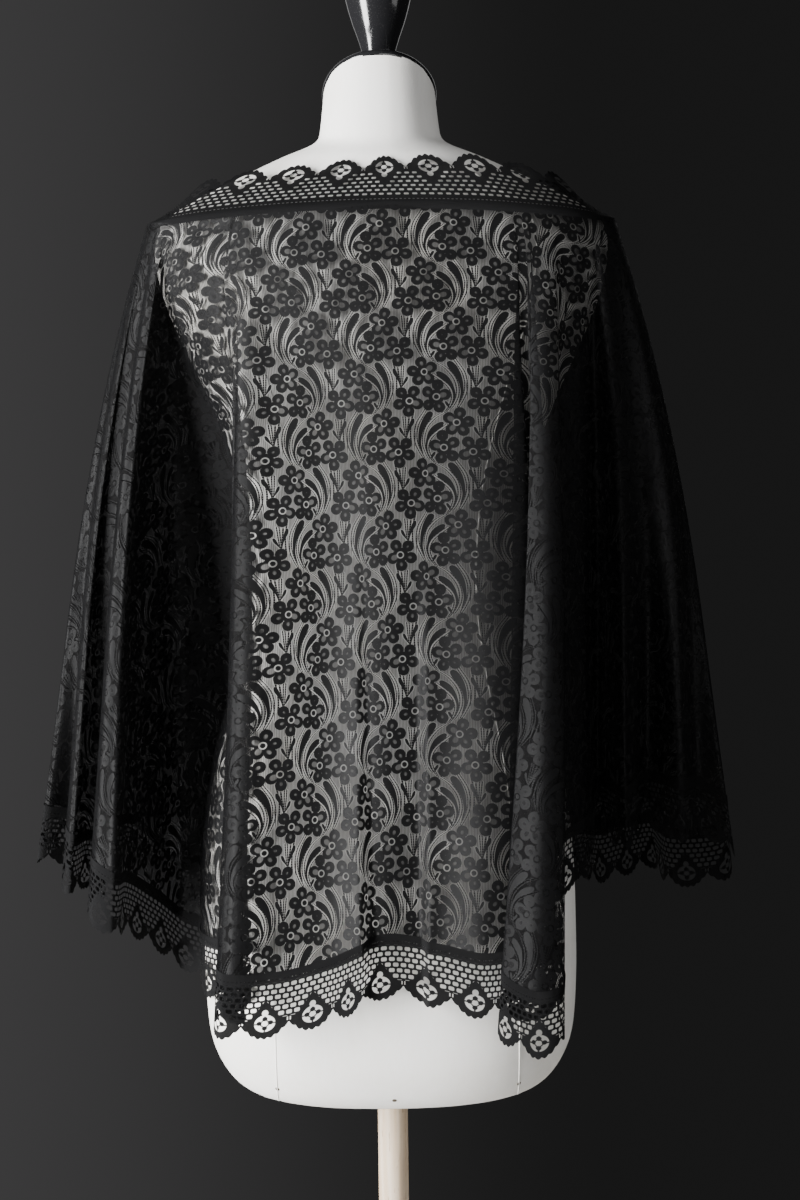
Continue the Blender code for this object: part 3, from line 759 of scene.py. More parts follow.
def make_lace(settings):
    """Raschel lace: flowers in threes, plumes with stitched lines, on a fine net."""
    lace = Formula("black flowered lace")
    size = (CARD_WIDTH, -CARD_HEIGHT, 0.0)
    card = lace.vector("MULTIPLY", lace.map(LACE_MAP), size)
    across, down, _ = lace.split(card)
    reach = CARD_WIDTH / 2
    drawn = lace.join(*lace_row(lace, across, down, FLOWER_EDGE))
    petals, hearts = [], []
    for centre, middles in FLOWERS:
        from_centre = lace.vector("SUBTRACT", drawn, (*centre, 0.0))
        near = lace.vector("WRAP", from_centre, (reach, FAR, 1.0), (-reach, -FAR, -1.0))
        hearts.append(lace.vector("LENGTH", near, output=1))
        petals += [
            lace.distance(near, (px - centre[0], py - centre[1])) for px, py in middles
        ]
    petal, heart = lace.least(*petals), lace.least(*hearts)
    # Petals are darkest round the edge and thinner in a spot near the heart.
    leaf = lace.most(
        lace.fade(petal, PETAL + 1.2, PETAL - 1.2), lace.fade(heart, HEART + 2.0, HEART - 2.0)
    )
    off_spot = lace.sum("MULTIPLY_ADD", heart, 0.6, -43.2) + petal
    leaf = leaf - lace.fade(off_spot, 14.0, 4.0, 0.0, 0.24)

    x, y = lace_row(lace, across, down, STROKE_EDGE)
    solid = strokes_inside(lace, x, y, PLUMES)
    line = strokes_inside(lace, x, y, STITCHED) + 1.5
    stitch = lace.sum("PINGPONG", y, STITCH)
    stitched = lace.fade(stitch, 1.0, 3.0, 0.72, 1.0)
    pair = lace.fade(line, -1.0, 0.5) - lace.fade(line, 8.0, 9.5)
    strokes = lace.most(lace.fade(solid, -1.5, 1.5), pair * stitched)
    motif = lace.most(leaf, strokes)
    # Open threads run along every stroke and between the two lines of a pair.
    open_edge = lace.fade(solid, -9.0, -5.0, 1.0, 0.62)
    open_edge = open_edge * lace.fade(line, -7.5, -4.0, 1.0, 0.45)

    wale = lace.sum("PINGPONG", across, CARD_WIDTH / 100)
    net = lace.fade(
        wale, 0.8, 2.6, settings.net_cover + 0.25, settings.net_cover * 0.8
    )
    cover = lace.most(motif, net * open_edge) * FULL_COVER
    # The heart of each flower is a dark knot in an open ring.
    ring = lace.fade(abs(heart - HEART_RING), 2.6, 6.0, 0.40, 1.0)
    # Both threads are black: the net's lighter colour is a painted sheen of its glossy thread.
    colour = lace.blend(
        motif, opaque(settings.net_colour_and_sheen), opaque(settings.motif_colour)
    )
    threads = lace.waves(card, 0.11, 1.5, "DIAGONAL")
    return lace.finish(
        base_color=colour,
        alpha=cover * ring,
        roughness=lace.slide(motif, 0.0, 1.0, 0.80, 0.45),
        normal=lace.bump(threads, 0.35, 0.0004),
        specular_ior_level=lace.slide(motif, 0.0, 1.0, 0.04, 0.125),
    )


# The edging's chart, in millimetres from the scallop tips upwards.
CHART_WIDTH, CHART_HEIGHT = 43.5, 60.0
MEDALLION_Y, MEDALLION_RADIUS, MEDALLION_TALL = 14.4, 9.6, 7.5
MESH_ROW = 5.0
ARCH_FOOT = 18.0  # the mesh between the arches starts here
BAND_Y = 50.5
# The medallion's four knots, the eye over it, and the distance of the links from it
KNOTS = ((0.0, 5.2), (0.0, -5.4), (5.2, 0.6), (-5.2, 0.6))
EYE = (0.0, 9.2)
LINK_REACH = 5.2
DASH_Y, SLIT_Y = 53.2, 16.0  # heights of the band's dashes and of the slits at a cusp


def make_edging(settings, name, half_hole):
    """Scalloped edging: open brick mesh, pointed arches, medallions and a dense band.

    half_hole is half the width and half the height of one hole of the mesh.
    """
    trim = Formula(name)
    size = (CHART_WIDTH, CHART_HEIGHT, 0.0)
    chart = trim.vector("MULTIPLY", trim.map(LACE_MAP), size)
    run, y, _ = trim.split(chart)
    half = CHART_WIDTH / 2
    x = trim.sum("WRAP", run - half, half, -half)
    away = abs(x)

    # brick mesh between the arches
    cell = CHART_WIDTH / 6
    row = trim.sum("FLOOR", trim.sum("MULTIPLY_ADD", y, 1 / MESH_ROW, 0.1))
    odd = trim.sum("FLOORED_MODULO", row, 2.0)
    slid = trim.sum("MULTIPLY_ADD", odd, cell / 2, run)
    across = abs(trim.sum("WRAP", slid, cell / 2, -cell / 2))
    raised = y + (0.1 * MESH_ROW - MESH_ROW / 2)
    up = abs(trim.sum("WRAP", raised, MESH_ROW / 2, -MESH_ROW / 2))
    corner = trim.sum("MULTIPLY_ADD", across + up, 0.7, -0.57 * sum(half_hole))
    hole = trim.most(across - half_hole[0], up - half_hole[1], corner)
    arch = trim.sum("MULTIPLY_ADD", away, 1.0, trim.sum("MULTIPLY_ADD", y, 0.80, -28.0))
    field = trim.least(arch, y - ARCH_FOOT, BAND_Y - y)
    open_mesh = trim.fade(hole, 0.35, -0.35) * trim.fade(field, 0.0, 0.8)

    # medallion: an oval of net with four linked knots and one eye above it
    above = y - MEDALLION_Y
    spot = trim.join(x, above * (MEDALLION_RADIUS / MEDALLION_TALL))
    radius = trim.vector("LENGTH", spot, output=1)
    knots = trim.least(*(trim.distance(spot, place) for place in KNOTS))
    sx, sy, _ = trim.split(spot)
    off_x, off_y = abs(sx), abs(sy)
    links = trim.most(abs(off_x + off_y - LINK_REACH), radius - 5.4)
    spokes = trim.most(trim.least(off_x, off_y), 5.0 - radius)
    medallion = trim.least(
        trim.fade(radius, MEDALLION_RADIUS + 0.3, MEDALLION_RADIUS - 0.5),
        trim.fade(knots, 2.2, 2.9),
        trim.fade(links, 0.7, 1.3, 0.05, 1.0),
        trim.fade(spokes, 0.6, 1.2, 0.05, 1.0),
    )
    eye = trim.fade(trim.distance(trim.join(x, above), EYE), 3.2, 2.5)
    slits = trim.most(
        *(trim.sum("COMPARE", away, half + off, 0.55) for off in (-1.3, 1.3))
    )
    slits = slits * trim.sum("COMPARE", y, SLIT_Y, 1.5)
    dashes = trim.sum("PINGPONG", run, cell / 4)
    dashes = trim.fade(dashes, 0.75, 1.05) * trim.sum("COMPARE", y, DASH_Y, 0.5) * 0.3
    openings = trim.most(open_mesh, medallion, eye, slits, dashes)
    cover = trim.sum("MULTIPLY_ADD", openings, -0.95, FULL_COVER)
    stitches = trim.waves(chart, 0.9, 2.0, "X")
    thread = settings.thread_colour
    colour = trim.blend(
        stitches, opaque(thread, 0.7, 0.7, 0.7), opaque(thread, 1.6, 1.6, 1.6)
    )
    return trim.finish(
        base_color=colour,
        alpha=cover,
        roughness=trim.slide(stitches, 0.0, 1.0, 0.72, 0.58),
        normal=trim.bump(stitches, 0.5, 0.0006),
        specular_ior_level=0.06,
    )


def make_calico(settings):
    """Plain woven cotton, stretched smooth, a little soiled."""
    cotton = Formula("calico cover")
    place = cotton.place()
    woven = cotton.waves(place, 420.0, 0.4, "X") * cotton.waves(place, 420.0, 0.4, "Z")
    slub = cotton.noise(
        cotton.vector("MULTIPLY", place, (1.0, 1.0, 0.15)), 260.0, 3.0, 0.6
    )
    soil = cotton.noise(place, 9.0, 4.0, 0.6)
    tone = cotton.fade(soil, 0.35, 0.75)
    base = settings.calico_colour
    colour = cotton.blend(tone, opaque(base), opaque(base, 0.95, 0.935, 0.90))
    shade = cotton.fade(slub, 0.30, 0.75, 0.0, 0.10)
    colour = cotton.blend(shade, colour, opaque((0.62, 0.58, 0.50)))
    return cotton.finish(
        base_color=colour,
        roughness=cotton.slide(slub, 0.2, 0.8, 0.80, 0.92),
        normal=cotton.bump(woven + slub, 0.16, 0.0003),
        sheen_weight=0.15,
        sheen_roughness=0.5,
        specular_ior_level=0.3,
    )


def make_beech(settings):
    """Pale beech: fine straight grain with short dark flecks, satin finish."""
    wood = Formula("pale beech")
    place = wood.place()
    streak = wood.noise(wood.vector("MULTIPLY", place, (1.0, 1.0, 0.035)), 160.0, 4.0)
    fleck = wood.noise(wood.vector("MULTIPLY", place, (1.0, 1.0, 0.18)), 420.0, 2.0)
    base = settings.beech_colour
    grain = wood.fade(streak, 0.32, 0.70)
    colour = wood.blend(grain, opaque(base), opaque(base, 0.80, 0.72, 0.62))
    spots = wood.fade(fleck, 0.62, 0.72, 0.0, 0.55)
    colour = wood.blend(spots, colour, opaque(base, 0.50, 0.40, 0.30))
    return wood.finish(
        base_color=colour,
        roughness=wood.slide(streak, 0.3, 0.7, 0.38, 0.52),
        normal=wood.bump(grain + spots, 0.12, 0.0003),
        specular_ior_level=0.4,
    )


def make_lacquer(settings):
    """Black gloss lacquer, with the faint waves of brushwork and a little dust."""
    gloss = Formula("black lacquer")
    place = gloss.place()
    brush = gloss.noise(gloss.vector("MULTIPLY", place, (1.0, 1.0, 4.0)), 26.0, 2.0)
    dust = gloss.noise(place, 900.0, 2.0)
    return gloss.finish(
        base_color=gloss.blend(
            gloss.fade(dust, 0.60, 0.80, 0.0, 0.35),
            opaque(settings.lacquer_colour), opaque((0.06, 0.058, 0.055)),
        ),
        roughness=gloss.fade(dust, 0.45, 0.80, 0.13, 0.28),
        normal=gloss.bump(brush, 0.03, 0.001),
        coat_weight=0.6,
        coat_roughness=0.06,
    )


def make_tack_metal():
    metal = Formula("dulled tack steel")
    worn = metal.noise(metal.place(), 700.0, 3.0)
    return metal.finish(
        base_color=metal.blend(
            metal.fade(worn, 0.35, 0.7), opaque((0.20, 0.18, 0.15)),
            opaque((0.07, 0.055, 0.04)),
        ),
        metallic=0.9,
        roughness=metal.fade(worn, 0.3, 0.7, 0.35, 0.6),
    )


def make_floor_paint():
    paint = Formula("pale floor")
    grain = paint.noise(paint.place(), 40.0, 3.0)
    return paint.finish(
        base_color=paint.blend(
            grain, opaque((0.62, 0.61, 0.59)), opaque((0.66, 0.65, 0.63))
        ),
        roughness=paint.fade(grain, 0.3, 0.7, 0.6, 0.7),
    )


def finish_named(name, make, *settings):
    """The finish of this name, made on first use."""
    return bpy.data.materials.get(name) or make(*settings)


# ------------------------------------------------------------- workshop helpers


MERGE = 0.00002  # points closer than this become one
SMOOTH_ANGLE = math.radians(35)


def clear_selection():
    if bpy.context.object and bpy.context.object.mode != "OBJECT":
        bpy.ops.object.mode_set(mode="OBJECT")
    bpy.ops.object.select_all(action="DESELECT")


def only(piece):
    clear_selection()
    piece.select_set(True)
    bpy.context.view_layer.objects.active = piece


@contextmanager
def editing(piece):
    """Edit mode on one piece, with all of it selected."""
    only(piece)
    bpy.ops.object.mode_set(mode="EDIT")
    bpy.ops.mesh.select_all(action="SELECT")
    yield
    bpy.ops.object.mode_set(mode="OBJECT")


def placed(name, data):
    """A new object with this data, put in the scene."""
    thing = bpy.data.objects.new(name, data)
    bpy.context.scene.collection.objects.link(thing)
    return thing


def dressed(piece, material):
    piece.data.materials.clear()
    piece.data.materials.append(material)
    return piece


def named(name, material):
    """Names the piece just modelled, puts its place in its mesh and gives its finish."""
    piece = bpy.context.object
    piece.name = piece.data.name = name
    only(piece)
    bpy.ops.object.transform_apply(location=True, rotation=True, scale=True)
    return dressed(piece, material)


def applied(piece, kind, **settings):
    """Puts a modifier on the piece and applies it."""
    modifier = piece.modifiers.new(kind.title(), kind)
    for name, value in settings.items():
        setattr(modifier, name, value)
    only(piece)
    bpy.ops.object.modifier_apply(modifier=modifier.name)


def outward(piece, angle=SMOOTH_ANGLE):
    with editing(piece):
        bpy.ops.mesh.remove_doubles(threshold=MERGE)
        bpy.ops.mesh.normals_make_consistent(inside=False)
    bpy.ops.object.shade_smooth_by_angle(angle=angle)


def turned(name, profile, material, sides, place=None):
    """A turned piece: a ring drawn up and scaled from one radius to the next."""
    clear_selection()
    (radius, z), rest = profile[0], profile[1:]
    bpy.ops.mesh.primitive_circle_add(
        vertices=sides, radius=radius, fill_type="NGON", location=(0, 0, z)
    )
    with editing(bpy.context.object):
        for wider, higher in rest:
            bpy.ops.mesh.extrude_region_move(
                TRANSFORM_OT_translate={"value": (0, 0, higher - z)}
            )
            scale = wider / radius
            bpy.ops.transform.resize(
                value=(scale, scale, 1), center_override=(0, 0, higher)
            )
            radius, z = wider, higher
    if place:
        bpy.context.object.matrix_world = place @ bpy.context.object.matrix_world
    piece = named(name, material)
    outward(piece)
    return piece


def refined(node, name, material, levels, redraw=None):
    """A finer copy of a CAD node, its loose triangles merged and made quads again.

    redraw, if given, reworks the coarse copy in edit mode.
    """
    piece = placed(name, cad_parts[node].data.copy())
    piece.data.name = name
    with editing(piece):
        bpy.ops.mesh.customdata_custom_splitnormals_clear()
        bpy.ops.mesh.remove_doubles(threshold=MERGE)
        bpy.ops.mesh.tris_convert_to_quads(
            face_threshold=math.radians(60), shape_threshold=math.radians(70)
        )
        if redraw:
            redraw()
    applied(piece, "SUBSURF", levels=levels, render_levels=levels)
    bpy.ops.object.shade_smooth_by_angle(angle=SMOOTH_ANGLE)
    return dressed(piece, material)


def install(piece, node=None):
    """Sets the piece on the form, in place of the CAD's node."""
    if node:
        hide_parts(node)
    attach(piece, "root")


def cloth(name, grid, map_points, material):
    """A sheet of cloth on a grid of points, columns first, with its pattern's map."""
    columns, rows = grid.shape[:2]
    place = np.arange(columns * rows).reshape(columns, rows)
    faces = np.stack(
        [place[:-1, :-1], place[:-1, 1:], place[1:, 1:], place[1:, :-1]], axis=2
    ).reshape(-1, 4)
    mesh = bpy.data.meshes.new(name)
    mesh.from_pydata(grid.reshape(-1, 3).tolist(), [], faces.tolist())
    layer = mesh.uv_layers.new(name=LACE_MAP)
    spots = map_points.reshape(-1, 2)[faces.reshape(-1)]
    layer.data.foreach_set("uv", spots.astype(np.float32).reshape(-1))
    mesh.shade_smooth()
    mesh.materials.append(material)
    return placed(name, mesh)


# ------------------------------------------------------------------- operators

SIDES = (("back", BACK_FOLDS, -1), ("front", FRONT_FOLDS, 1))
COLUMN_STEP = 0.0032  # spacing of the lace's falls along the hem
FALL_ROWS = 112
UNDER_BAND = 0.008  # how far the lace runs under the edging's band
LACE_SHIFT = (0.869, 0.9375)  # slides the pattern on the back, in repeats


class CAPE_OT_panels(bpy.types.Operator):
    """Hang the back and front panels of flowered lace from the neck seam"""

    bl_idname = "cape.panels"
    bl_label = "Hang the Lace Panels"

    def execute(self, context):
        lace, edging = context.scene.cape_lace, context.scene.cape_edging
        material = finish_named("black flowered lace", make_lace, lace)
        for word, folds, side in SIDES:
            falls = Falls(folds, side, lace.ripple)
            count = round(falls.fine_length[-1] / COLUMN_STEP)
            at = falls.at_lengths(np.linspace(0, falls.fine_length[-1], count + 1))
            last, _ = falls.edge_share(at, edging.depth - UNDER_BAND)
            grid = falls.surface(at, last[:, None] * np.linspace(0, 1, FALL_ROWS))
            flat = flat_cut(grid)
            rim = np.concatenate([flat[:, 0], flat[::-1, -1]])
            after = np.roll(rim, -1, axis=0)
            area = abs((rim[:, 0] * after[:, 1] - rim[:, 1] * after[:, 0]).sum()) / 2
            drawn = flat_cut(grid, lace.drag, lace.tilt)
            repeats = drawn / (lace.repeat_width, lace.repeat_height) + LACE_SHIFT
            piece = cloth(f"{word}_lace_panel", grid, repeats, material)
            install(piece, f"{word}_panel")
        return {"FINISHED"}


BUMP = 0.0019  # height of the small bumps along each scallop
STEPS_TO_A_SCALLOP = 56
EDGING_ROWS = 14
# How far the edging's band lies over the lace, and the share of the edging that it takes
PROUD, BAND_SHARE = 0.0007, 0.3
HEM_HOLE, NECK_HOLE = (2.55, 1.70), (2.15, 1.10)  # half sizes of the mesh's holes
# The shares of a straight strip that the scalloped cloth fills.
HEM_FILL, NECK_FILL = 0.85, 0.8
# How far the scallops are slid along the hem as it is sewn, in scallops, at each x.
HEM_EASE = {
    "back": (
        (-0.328, 0.0), (-0.290, -0.26), (-0.058, -0.26), (-0.012, 0.25), (0.080, 0.28),
        (0.125, 0.66), (0.328, 0.66),
    ),
    "front": ((-0.328, 0.0), (0.328, 0.0)),
}


def scallop_edge(along, pitch):
    """How far the edge draws back at these places, counted in scallops; in metres."""
    phase = np.mod(along, 1.0)
    off_tip = np.abs(phase - 0.5)
    places, backs = zip(*SCALLOP_EDGE)
    lobe = np.interp(off_tip, places, backs) * pitch
    return lobe + BUMP * (1 - np.abs(np.sin(math.pi * SCALLOP_BUMPS * phase)))


def raised_band(grid, side, share):
    """The edging's grid with its band lifted off the lace."""
    over = PROUD * np.clip(1 - share / BAND_SHARE, 0, 1)
    return grid + grid_normals(grid, side) * over[None, :, None]


def edging_sheet(place, word, grid, along, above_tip, material, **sheet):
    """One edging: along counts its scallops, and above_tip is the share of its width."""
    spots = np.stack([along[:, None] + 0 * above_tip, above_tip], axis=2)
    piece = cloth(f"{place}_edging_{word}_lace", grid, spots, material)
    install(piece, f"{place}_edging_{word}")


class CAPE_OT_hem_edgings(bpy.types.Operator):
    """Sew the scalloped edging along the hem of both panels"""

    bl_idname = "cape.hem_edgings"
    bl_label = "Sew the Hem Edgings"

    def execute(self, context):
        lace, edging = context.scene.cape_lace, context.scene.cape_edging
        material = make_edging(edging, "black hem edging", HEM_HOLE)
        for word, folds, side in SIDES:
            falls = Falls(folds, side, lace.ripple)
            run = float(falls.fine_length[-1])
            ease_x, ease = zip(*HEM_EASE[word])
            scallops = round(run / edging.pitch + ease[-1])
            count = scallops * STEPS_TO_A_SCALLOP + 1
            at = falls.at_lengths(np.linspace(0, run, count))
            hem = falls.ends(at)[2]
            along = np.linspace(0, scallops - ease[-1], count)
            along += np.interp(hem[:, 0], ease_x, ease)
            first, length = falls.edge_share(at, edging.depth)
            last = 1 - scallop_edge(along, edging.pitch) / length
            share = np.linspace(0, 1, EDGING_ROWS)
            shares = first[:, None] + (last - first)[:, None] * share
            grid = raised_band(falls.surface(at, shares), side, share)
            above_tip = (1 - shares) * length[:, None] / edging.depth
            edging_sheet(
                "hem", word, grid, along, above_tip, material,
                flat=(run, edging.depth), held="gathered",
                rests_on=[f"{word}_lace_panel"], area=run * edging.depth * HEM_FILL,
            )
        return {"FINISHED"}


NECK_DROP, NECK_LAP = 0.004, 0.0003  # how far it laps down over the lace, and out
NECK_SLIDE = 0.0045  # how far the neck edging's middle scallop sits to the right


class CAPE_OT_neck_edgings(bpy.types.Operator):
    """Set the scalloped edging round the boat neck"""

    bl_idname = "cape.neck_edgings"
    bl_label = "Set the Neck Edgings"

    def execute(self, context):
        edging = context.scene.cape_edging
        material = make_edging(edging, "black neck edging", NECK_HOLE)
        for word, folds, side in SIDES:
            fine = np.linspace(0, math.pi, NECK_SAMPLES)
            length = running_length(neck_point(fine, side))
            scallops = round(length[-1] / edging.neck_pitch)
            count = scallops * STEPS_TO_A_SCALLOP + 1
            places = np.linspace(0, length[-1], count)
            places += NECK_SLIDE * np.sin(math.pi * places / length[-1])
            turn = np.interp(places, length, fine)
            along = np.linspace(0, scallops, count)
            low, high = neck_point(turn, side), collar_point(turn, side)
            width = np.linalg.norm(high - low, axis=1)
            last = 1 - scallop_edge(along, edging.neck_pitch) / width
            share = np.linspace(0, 1, EDGING_ROWS)
            shares = last[:, None] * share
            grid = low[:, None, :] + (high - low)[:, None, :] * shares[:, :, None]
            flat = off_the_form(grid.reshape(-1, 3), SHOULDER_GAP, SHOULDER_EASE)
            grid = raised_band(flat.reshape(grid.shape), side, share)
            hem = grid[:, :1] - np.array([0, 0, NECK_DROP])
            hem[:, :, 1] += side * NECK_LAP
            grid = np.concatenate([hem, grid], axis=1)
            shares = np.hstack([(-NECK_DROP / width)[:, None], shares])
            run = float(length[-1])
            edging_sheet(
                "neck", word, grid, along, 1 - shares, material,
                flat=(run, edging.depth), held="draped",
                rests_on=["form_body"], area=run * edging.depth * NECK_FILL,
            )
        return {"FINISHED"}


SEAM_LOW, SEAM_HIGH, SEAM_POINTS = 0.590, 1.43, 140
# Each seam: its x at the hips, and -1 for the back or +1 for the front.  A tack: x and z.
COVER_SEAMS = ((-0.1045, -1), (0.1150, -1), (-0.100, 1), (0.100, 1), (0.0, 1))
TACKS = ((-0.1045, 0.6075), (0.0015, 0.6000), (0.1150, 0.6075))
HIP_HALF_WIDTH = 0.1735
NECK_BASE = 1.4405
# Up the neck: height, half width, reach to the back, reach to the front.
NECK_RINGS = (
    (1.4405, 0.0985, 0.0585, 0.0630),
    (1.4470, 0.0840, 0.0560, 0.0632),
    (1.4520, 0.0705, 0.0520, 0.0636),
    (1.4560, 0.0605, 0.0490, 0.0640),
    (1.4605, 0.0545, 0.0468, 0.0645),
    (1.4660, 0.0528, 0.0455, 0.0650),
    (1.4870, 0.0505, 0.0440, 0.0655),
    (1.5080, 0.0482, 0.0435, 0.0660),
    (1.5700, 0.0465, 0.0430, 0.0660),
)
CUT_BACK_Y, CUT_BACK_Z, CUT_TILT = -0.044, 1.533, math.radians(33)


class CAPE_OT_form(bpy.types.Operator):
    """Model the form's padded torso, the seams of its cover and its tacks"""

    bl_idname = "cape.form"
    bl_label = "Model the Form"

    def execute(self, context):
        settings = context.scene.cape_form
        calico = finish_named("calico cover", make_calico, settings)
        torso = refined("form_body", "torso", calico, 2, self.draw_neck)
        self.cut_neck(torso)
        install(torso, "form_body")
        for number, (x, side) in enumerate(COVER_SEAMS, 1):
            seam = self.seam(torso, x, side, settings.seam_height, calico)
            seam.name = seam.data.name = f"cover_seam_{number}"
            install(seam)
        steel = finish_named("dulled tack steel", make_tack_metal)
        for number, (x, z) in enumerate(TACKS, 1):
            tack = self.tack(torso, x, z, settings.tack_radius, steel)
            tack.name = tack.data.name = f"cover_tack_{number}"
            install(tack)
        return {"FINISHED"}

    def draw_neck(self):
        """Cuts the shoulders open in edit mode and draws the neck up from them."""
        bpy.ops.mesh.bisect(
            plane_co=(0, 0, NECK_BASE), plane_no=(0, 0, 1), clear_outer=True
        )
        (z, wide, back, front), rings = NECK_RINGS[0], NECK_RINGS[1:]
        for high, half_width, to_back, to_front in rings:
            middle = (to_front - to_back) / 2
            bpy.ops.mesh.extrude_edges_move(
                TRANSFORM_OT_translate={
                    "value": (0, middle - (front - back) / 2, high - z)
                }
            )
            bpy.ops.transform.resize(
                value=(half_width / wide, (to_front + to_back) / (front + back), 1),
                center_override=(0, middle, high),
            )
            z, wide, back, front = high, half_width, to_back, to_front

    def cut_neck(self, torso):
        with editing(torso):
            bpy.ops.mesh.bisect(
                plane_co=(0, CUT_BACK_Y, CUT_BACK_Z),
                plane_no=(0, math.sin(CUT_TILT), math.cos(CUT_TILT)),
                clear_outer=True, use_fill=True,
            )
        bpy.ops.object.shade_smooth_by_angle(angle=math.radians(40))

    def skin(self, torso, x, side, z):
        """The point of the skin, and its normal, on a seam that leans with the waist."""
        half_width = float(form_section(max(z, 0.70))[0][0])
        start = Vector((x * half_width / HIP_HALF_WIDTH, side * 0.5, z))
        hit, point, normal, _ = torso.ray_cast(start, Vector((0, -side, 0)))
        if not hit:
            raise RuntimeError(f"no skin at {tuple(start)}")
        return point, normal

    def seam(self, torso, x, side, height, calico):
        line = bpy.data.curves.new("seam", "CURVE")
        line.dimensions = "3D"
        line.bevel_depth, line.bevel_resolution = height, 2
        heights = np.linspace(SEAM_LOW, SEAM_HIGH, SEAM_POINTS)
        points = [self.skin(torso, x, side, float(z))[0] for z in heights]
        spline = line.splines.new("POLY")
        spline.points.add(len(points) - 1)
        for spot, point in zip(spline.points, points):
            spot.co = (*point, 1.0)
        line.use_fill_caps = True
        only(placed("seam", line))
        bpy.ops.object.convert(target="MESH")
        piece = dressed(bpy.context.object, calico)
        outward(piece)
        return piece

    def tack(self, torso, x, z, radius, steel):
        point, normal = self.skin(torso, x, -1, z)
        clear_selection()
        bpy.ops.mesh.primitive_cylinder_add(
            vertices=20, radius=radius, depth=radius * 0.5, location=point,
            rotation=normal.to_track_quat("Z", "Y").to_euler(),
        )
        tack = named("tack", steel)
        applied(tack, "BEVEL", width=radius * 0.4, segments=4)
        outward(tack, math.radians(60))
        return tack


# The oval cap: shares of its half sizes, and heights over the neck's cut.
CAP = (
    (0.955, -0.0015), (0.985, -0.0008), (0.998, 0.0006), (1.000, 0.0022),
    (0.994, 0.0038), (0.978, 0.0052), (0.950, 0.0062), (0.90, 0.0070), (0.55, 0.0078),
)
CAP_HALF_WIDTH, CAP_HALF_LENGTH, CAP_MIDDLE = 0.0512, 0.0665, 0.0655
KNOB_HEIGHT = 0.158
KNOB = (
    # radius, height above the middle of the cap
    (0.0240, 0.0060), (0.0238, 0.0100), (0.0228, 0.0145), (0.0200, 0.0185),
    (0.0172, 0.0235), (0.0152, 0.0290), (0.0142, 0.0345), (0.0140, 0.0380),
    (0.0145, 0.0420), (0.0155, 0.0470), (0.0170, 0.0520), (0.0188, 0.0575),
    (0.0210, 0.0635), (0.0232, 0.0695), (0.0252, 0.0760), (0.0272, 0.0830),
    (0.0289, 0.0900), (0.0302, 0.0980), (0.0312, 0.1060), (0.0320, 0.1150),
    (0.0326, 0.1240), (0.0327, 0.1320), (0.0322, 0.1380), (0.0309, 0.1430),
    (0.0287, 0.1470), (0.0252, 0.1508), (0.0205, 0.1537), (0.0150, 0.1558),
    (0.0085, 0.1572), (0.0030, 0.1577),
)


class CAPE_OT_knob(bpy.types.Operator):
    """Turn the knob and finish the cap of the form's neck"""

    bl_idname = "cape.knob"
    bl_label = "Turn the Knob"

    def execute(self, context):
        settings = context.scene.cape_stand
        lacquer = finish_named("black lacquer", make_lacquer, settings)
        cap = turned(
            "oval_neck_cap", CAP, lacquer, settings.sides,
            Matrix.Translation((0, CUT_BACK_Y, CUT_BACK_Z))
            @ Matrix.Rotation(-CUT_TILT, 4, "X")
            @ Matrix.Translation((0, CAP_MIDDLE, 0))
            @ Matrix.Diagonal((CAP_HALF_WIDTH, CAP_HALF_LENGTH, 1, 1)),
        )
        install(cap, "neck_cap")
        low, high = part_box("finial")
        middle = (low + high) / 2
        base = high.z - KNOB_HEIGHT
        knob = turned(
            "turned_knob", [(r, base + h) for r, h in KNOB], lacquer, settings.sides,
            Matrix.Translation((middle.x, middle.y, 0)),
        )
        install(knob, "finial")
        return {"FINISHED"}


class CAPE_OT_stand(bpy.types.Operator):
    """Turn the pole, the hub and the round foot in beech"""

    bl_idname = "cape.stand"
    bl_label = "Turn the Stand"

    def execute(self, context):
        settings = context.scene.cape_stand
        beech = finish_named("pale beech", make_beech, settings)
        for node in ("foot", "foot_hub", "pole"):
            low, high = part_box(node)
            profile = getattr(self, node)(high.x, low.z, high.z)
            piece = turned(f"turned_{node}", profile, beech, settings.sides)
            install(piece, node)
        return {"FINISHED"}

    def foot(self, radius, low, high):
        edge = (high - low) / 2
        arc = [
            (radius - edge * (1 - math.cos(a)), high - edge * (1 - math.sin(a)))
            for a in np.linspace(0, math.pi / 2, 9)
        ]
        return [(radius - 0.004, low), (radius - 0.0012, low + 0.0012),
                (radius, low + 0.004), *arc, (radius * 0.90, high),
                (radius * 0.885, high - 0.0015), (radius * 0.87, high),
                (radius * 0.30, high)]

    def foot_hub(self, radius, low, high):
        tall = high - low
        shape = (
            (1.00, 0.00), (1.00, 0.16), (0.985, 0.20), (0.93, 0.24), (0.84, 0.30),
            (0.76, 0.38), (0.69, 0.47), (0.64, 0.56), (0.62, 0.64), (0.625, 0.72),
            (0.645, 0.80), (0.66, 0.87), (0.66, 0.93), (0.645, 0.975), (0.61, 1.00),
            (0.36, 1.00),
        )
        return [(radius * r, low + tall * h) for r, h in shape]

    def pole(self, radius, low, high):
        return [(radius - 0.0008, low), (radius, low + 0.0008),
                *((radius, z) for z in np.linspace(low + 0.02, high - 0.02, 9)),
                (radius, high - 0.0008), (radius - 0.0008, high)]


CAMERA_DISTANCE, CAMERA_HEIGHT = 2.30, 1.40
CAMERA_DIP, CAMERA_ROLL = math.radians(8.785), math.radians(-0.77)
CAMERA_LENS, CAMERA_SHIFT = 76.08, 14 / 1200
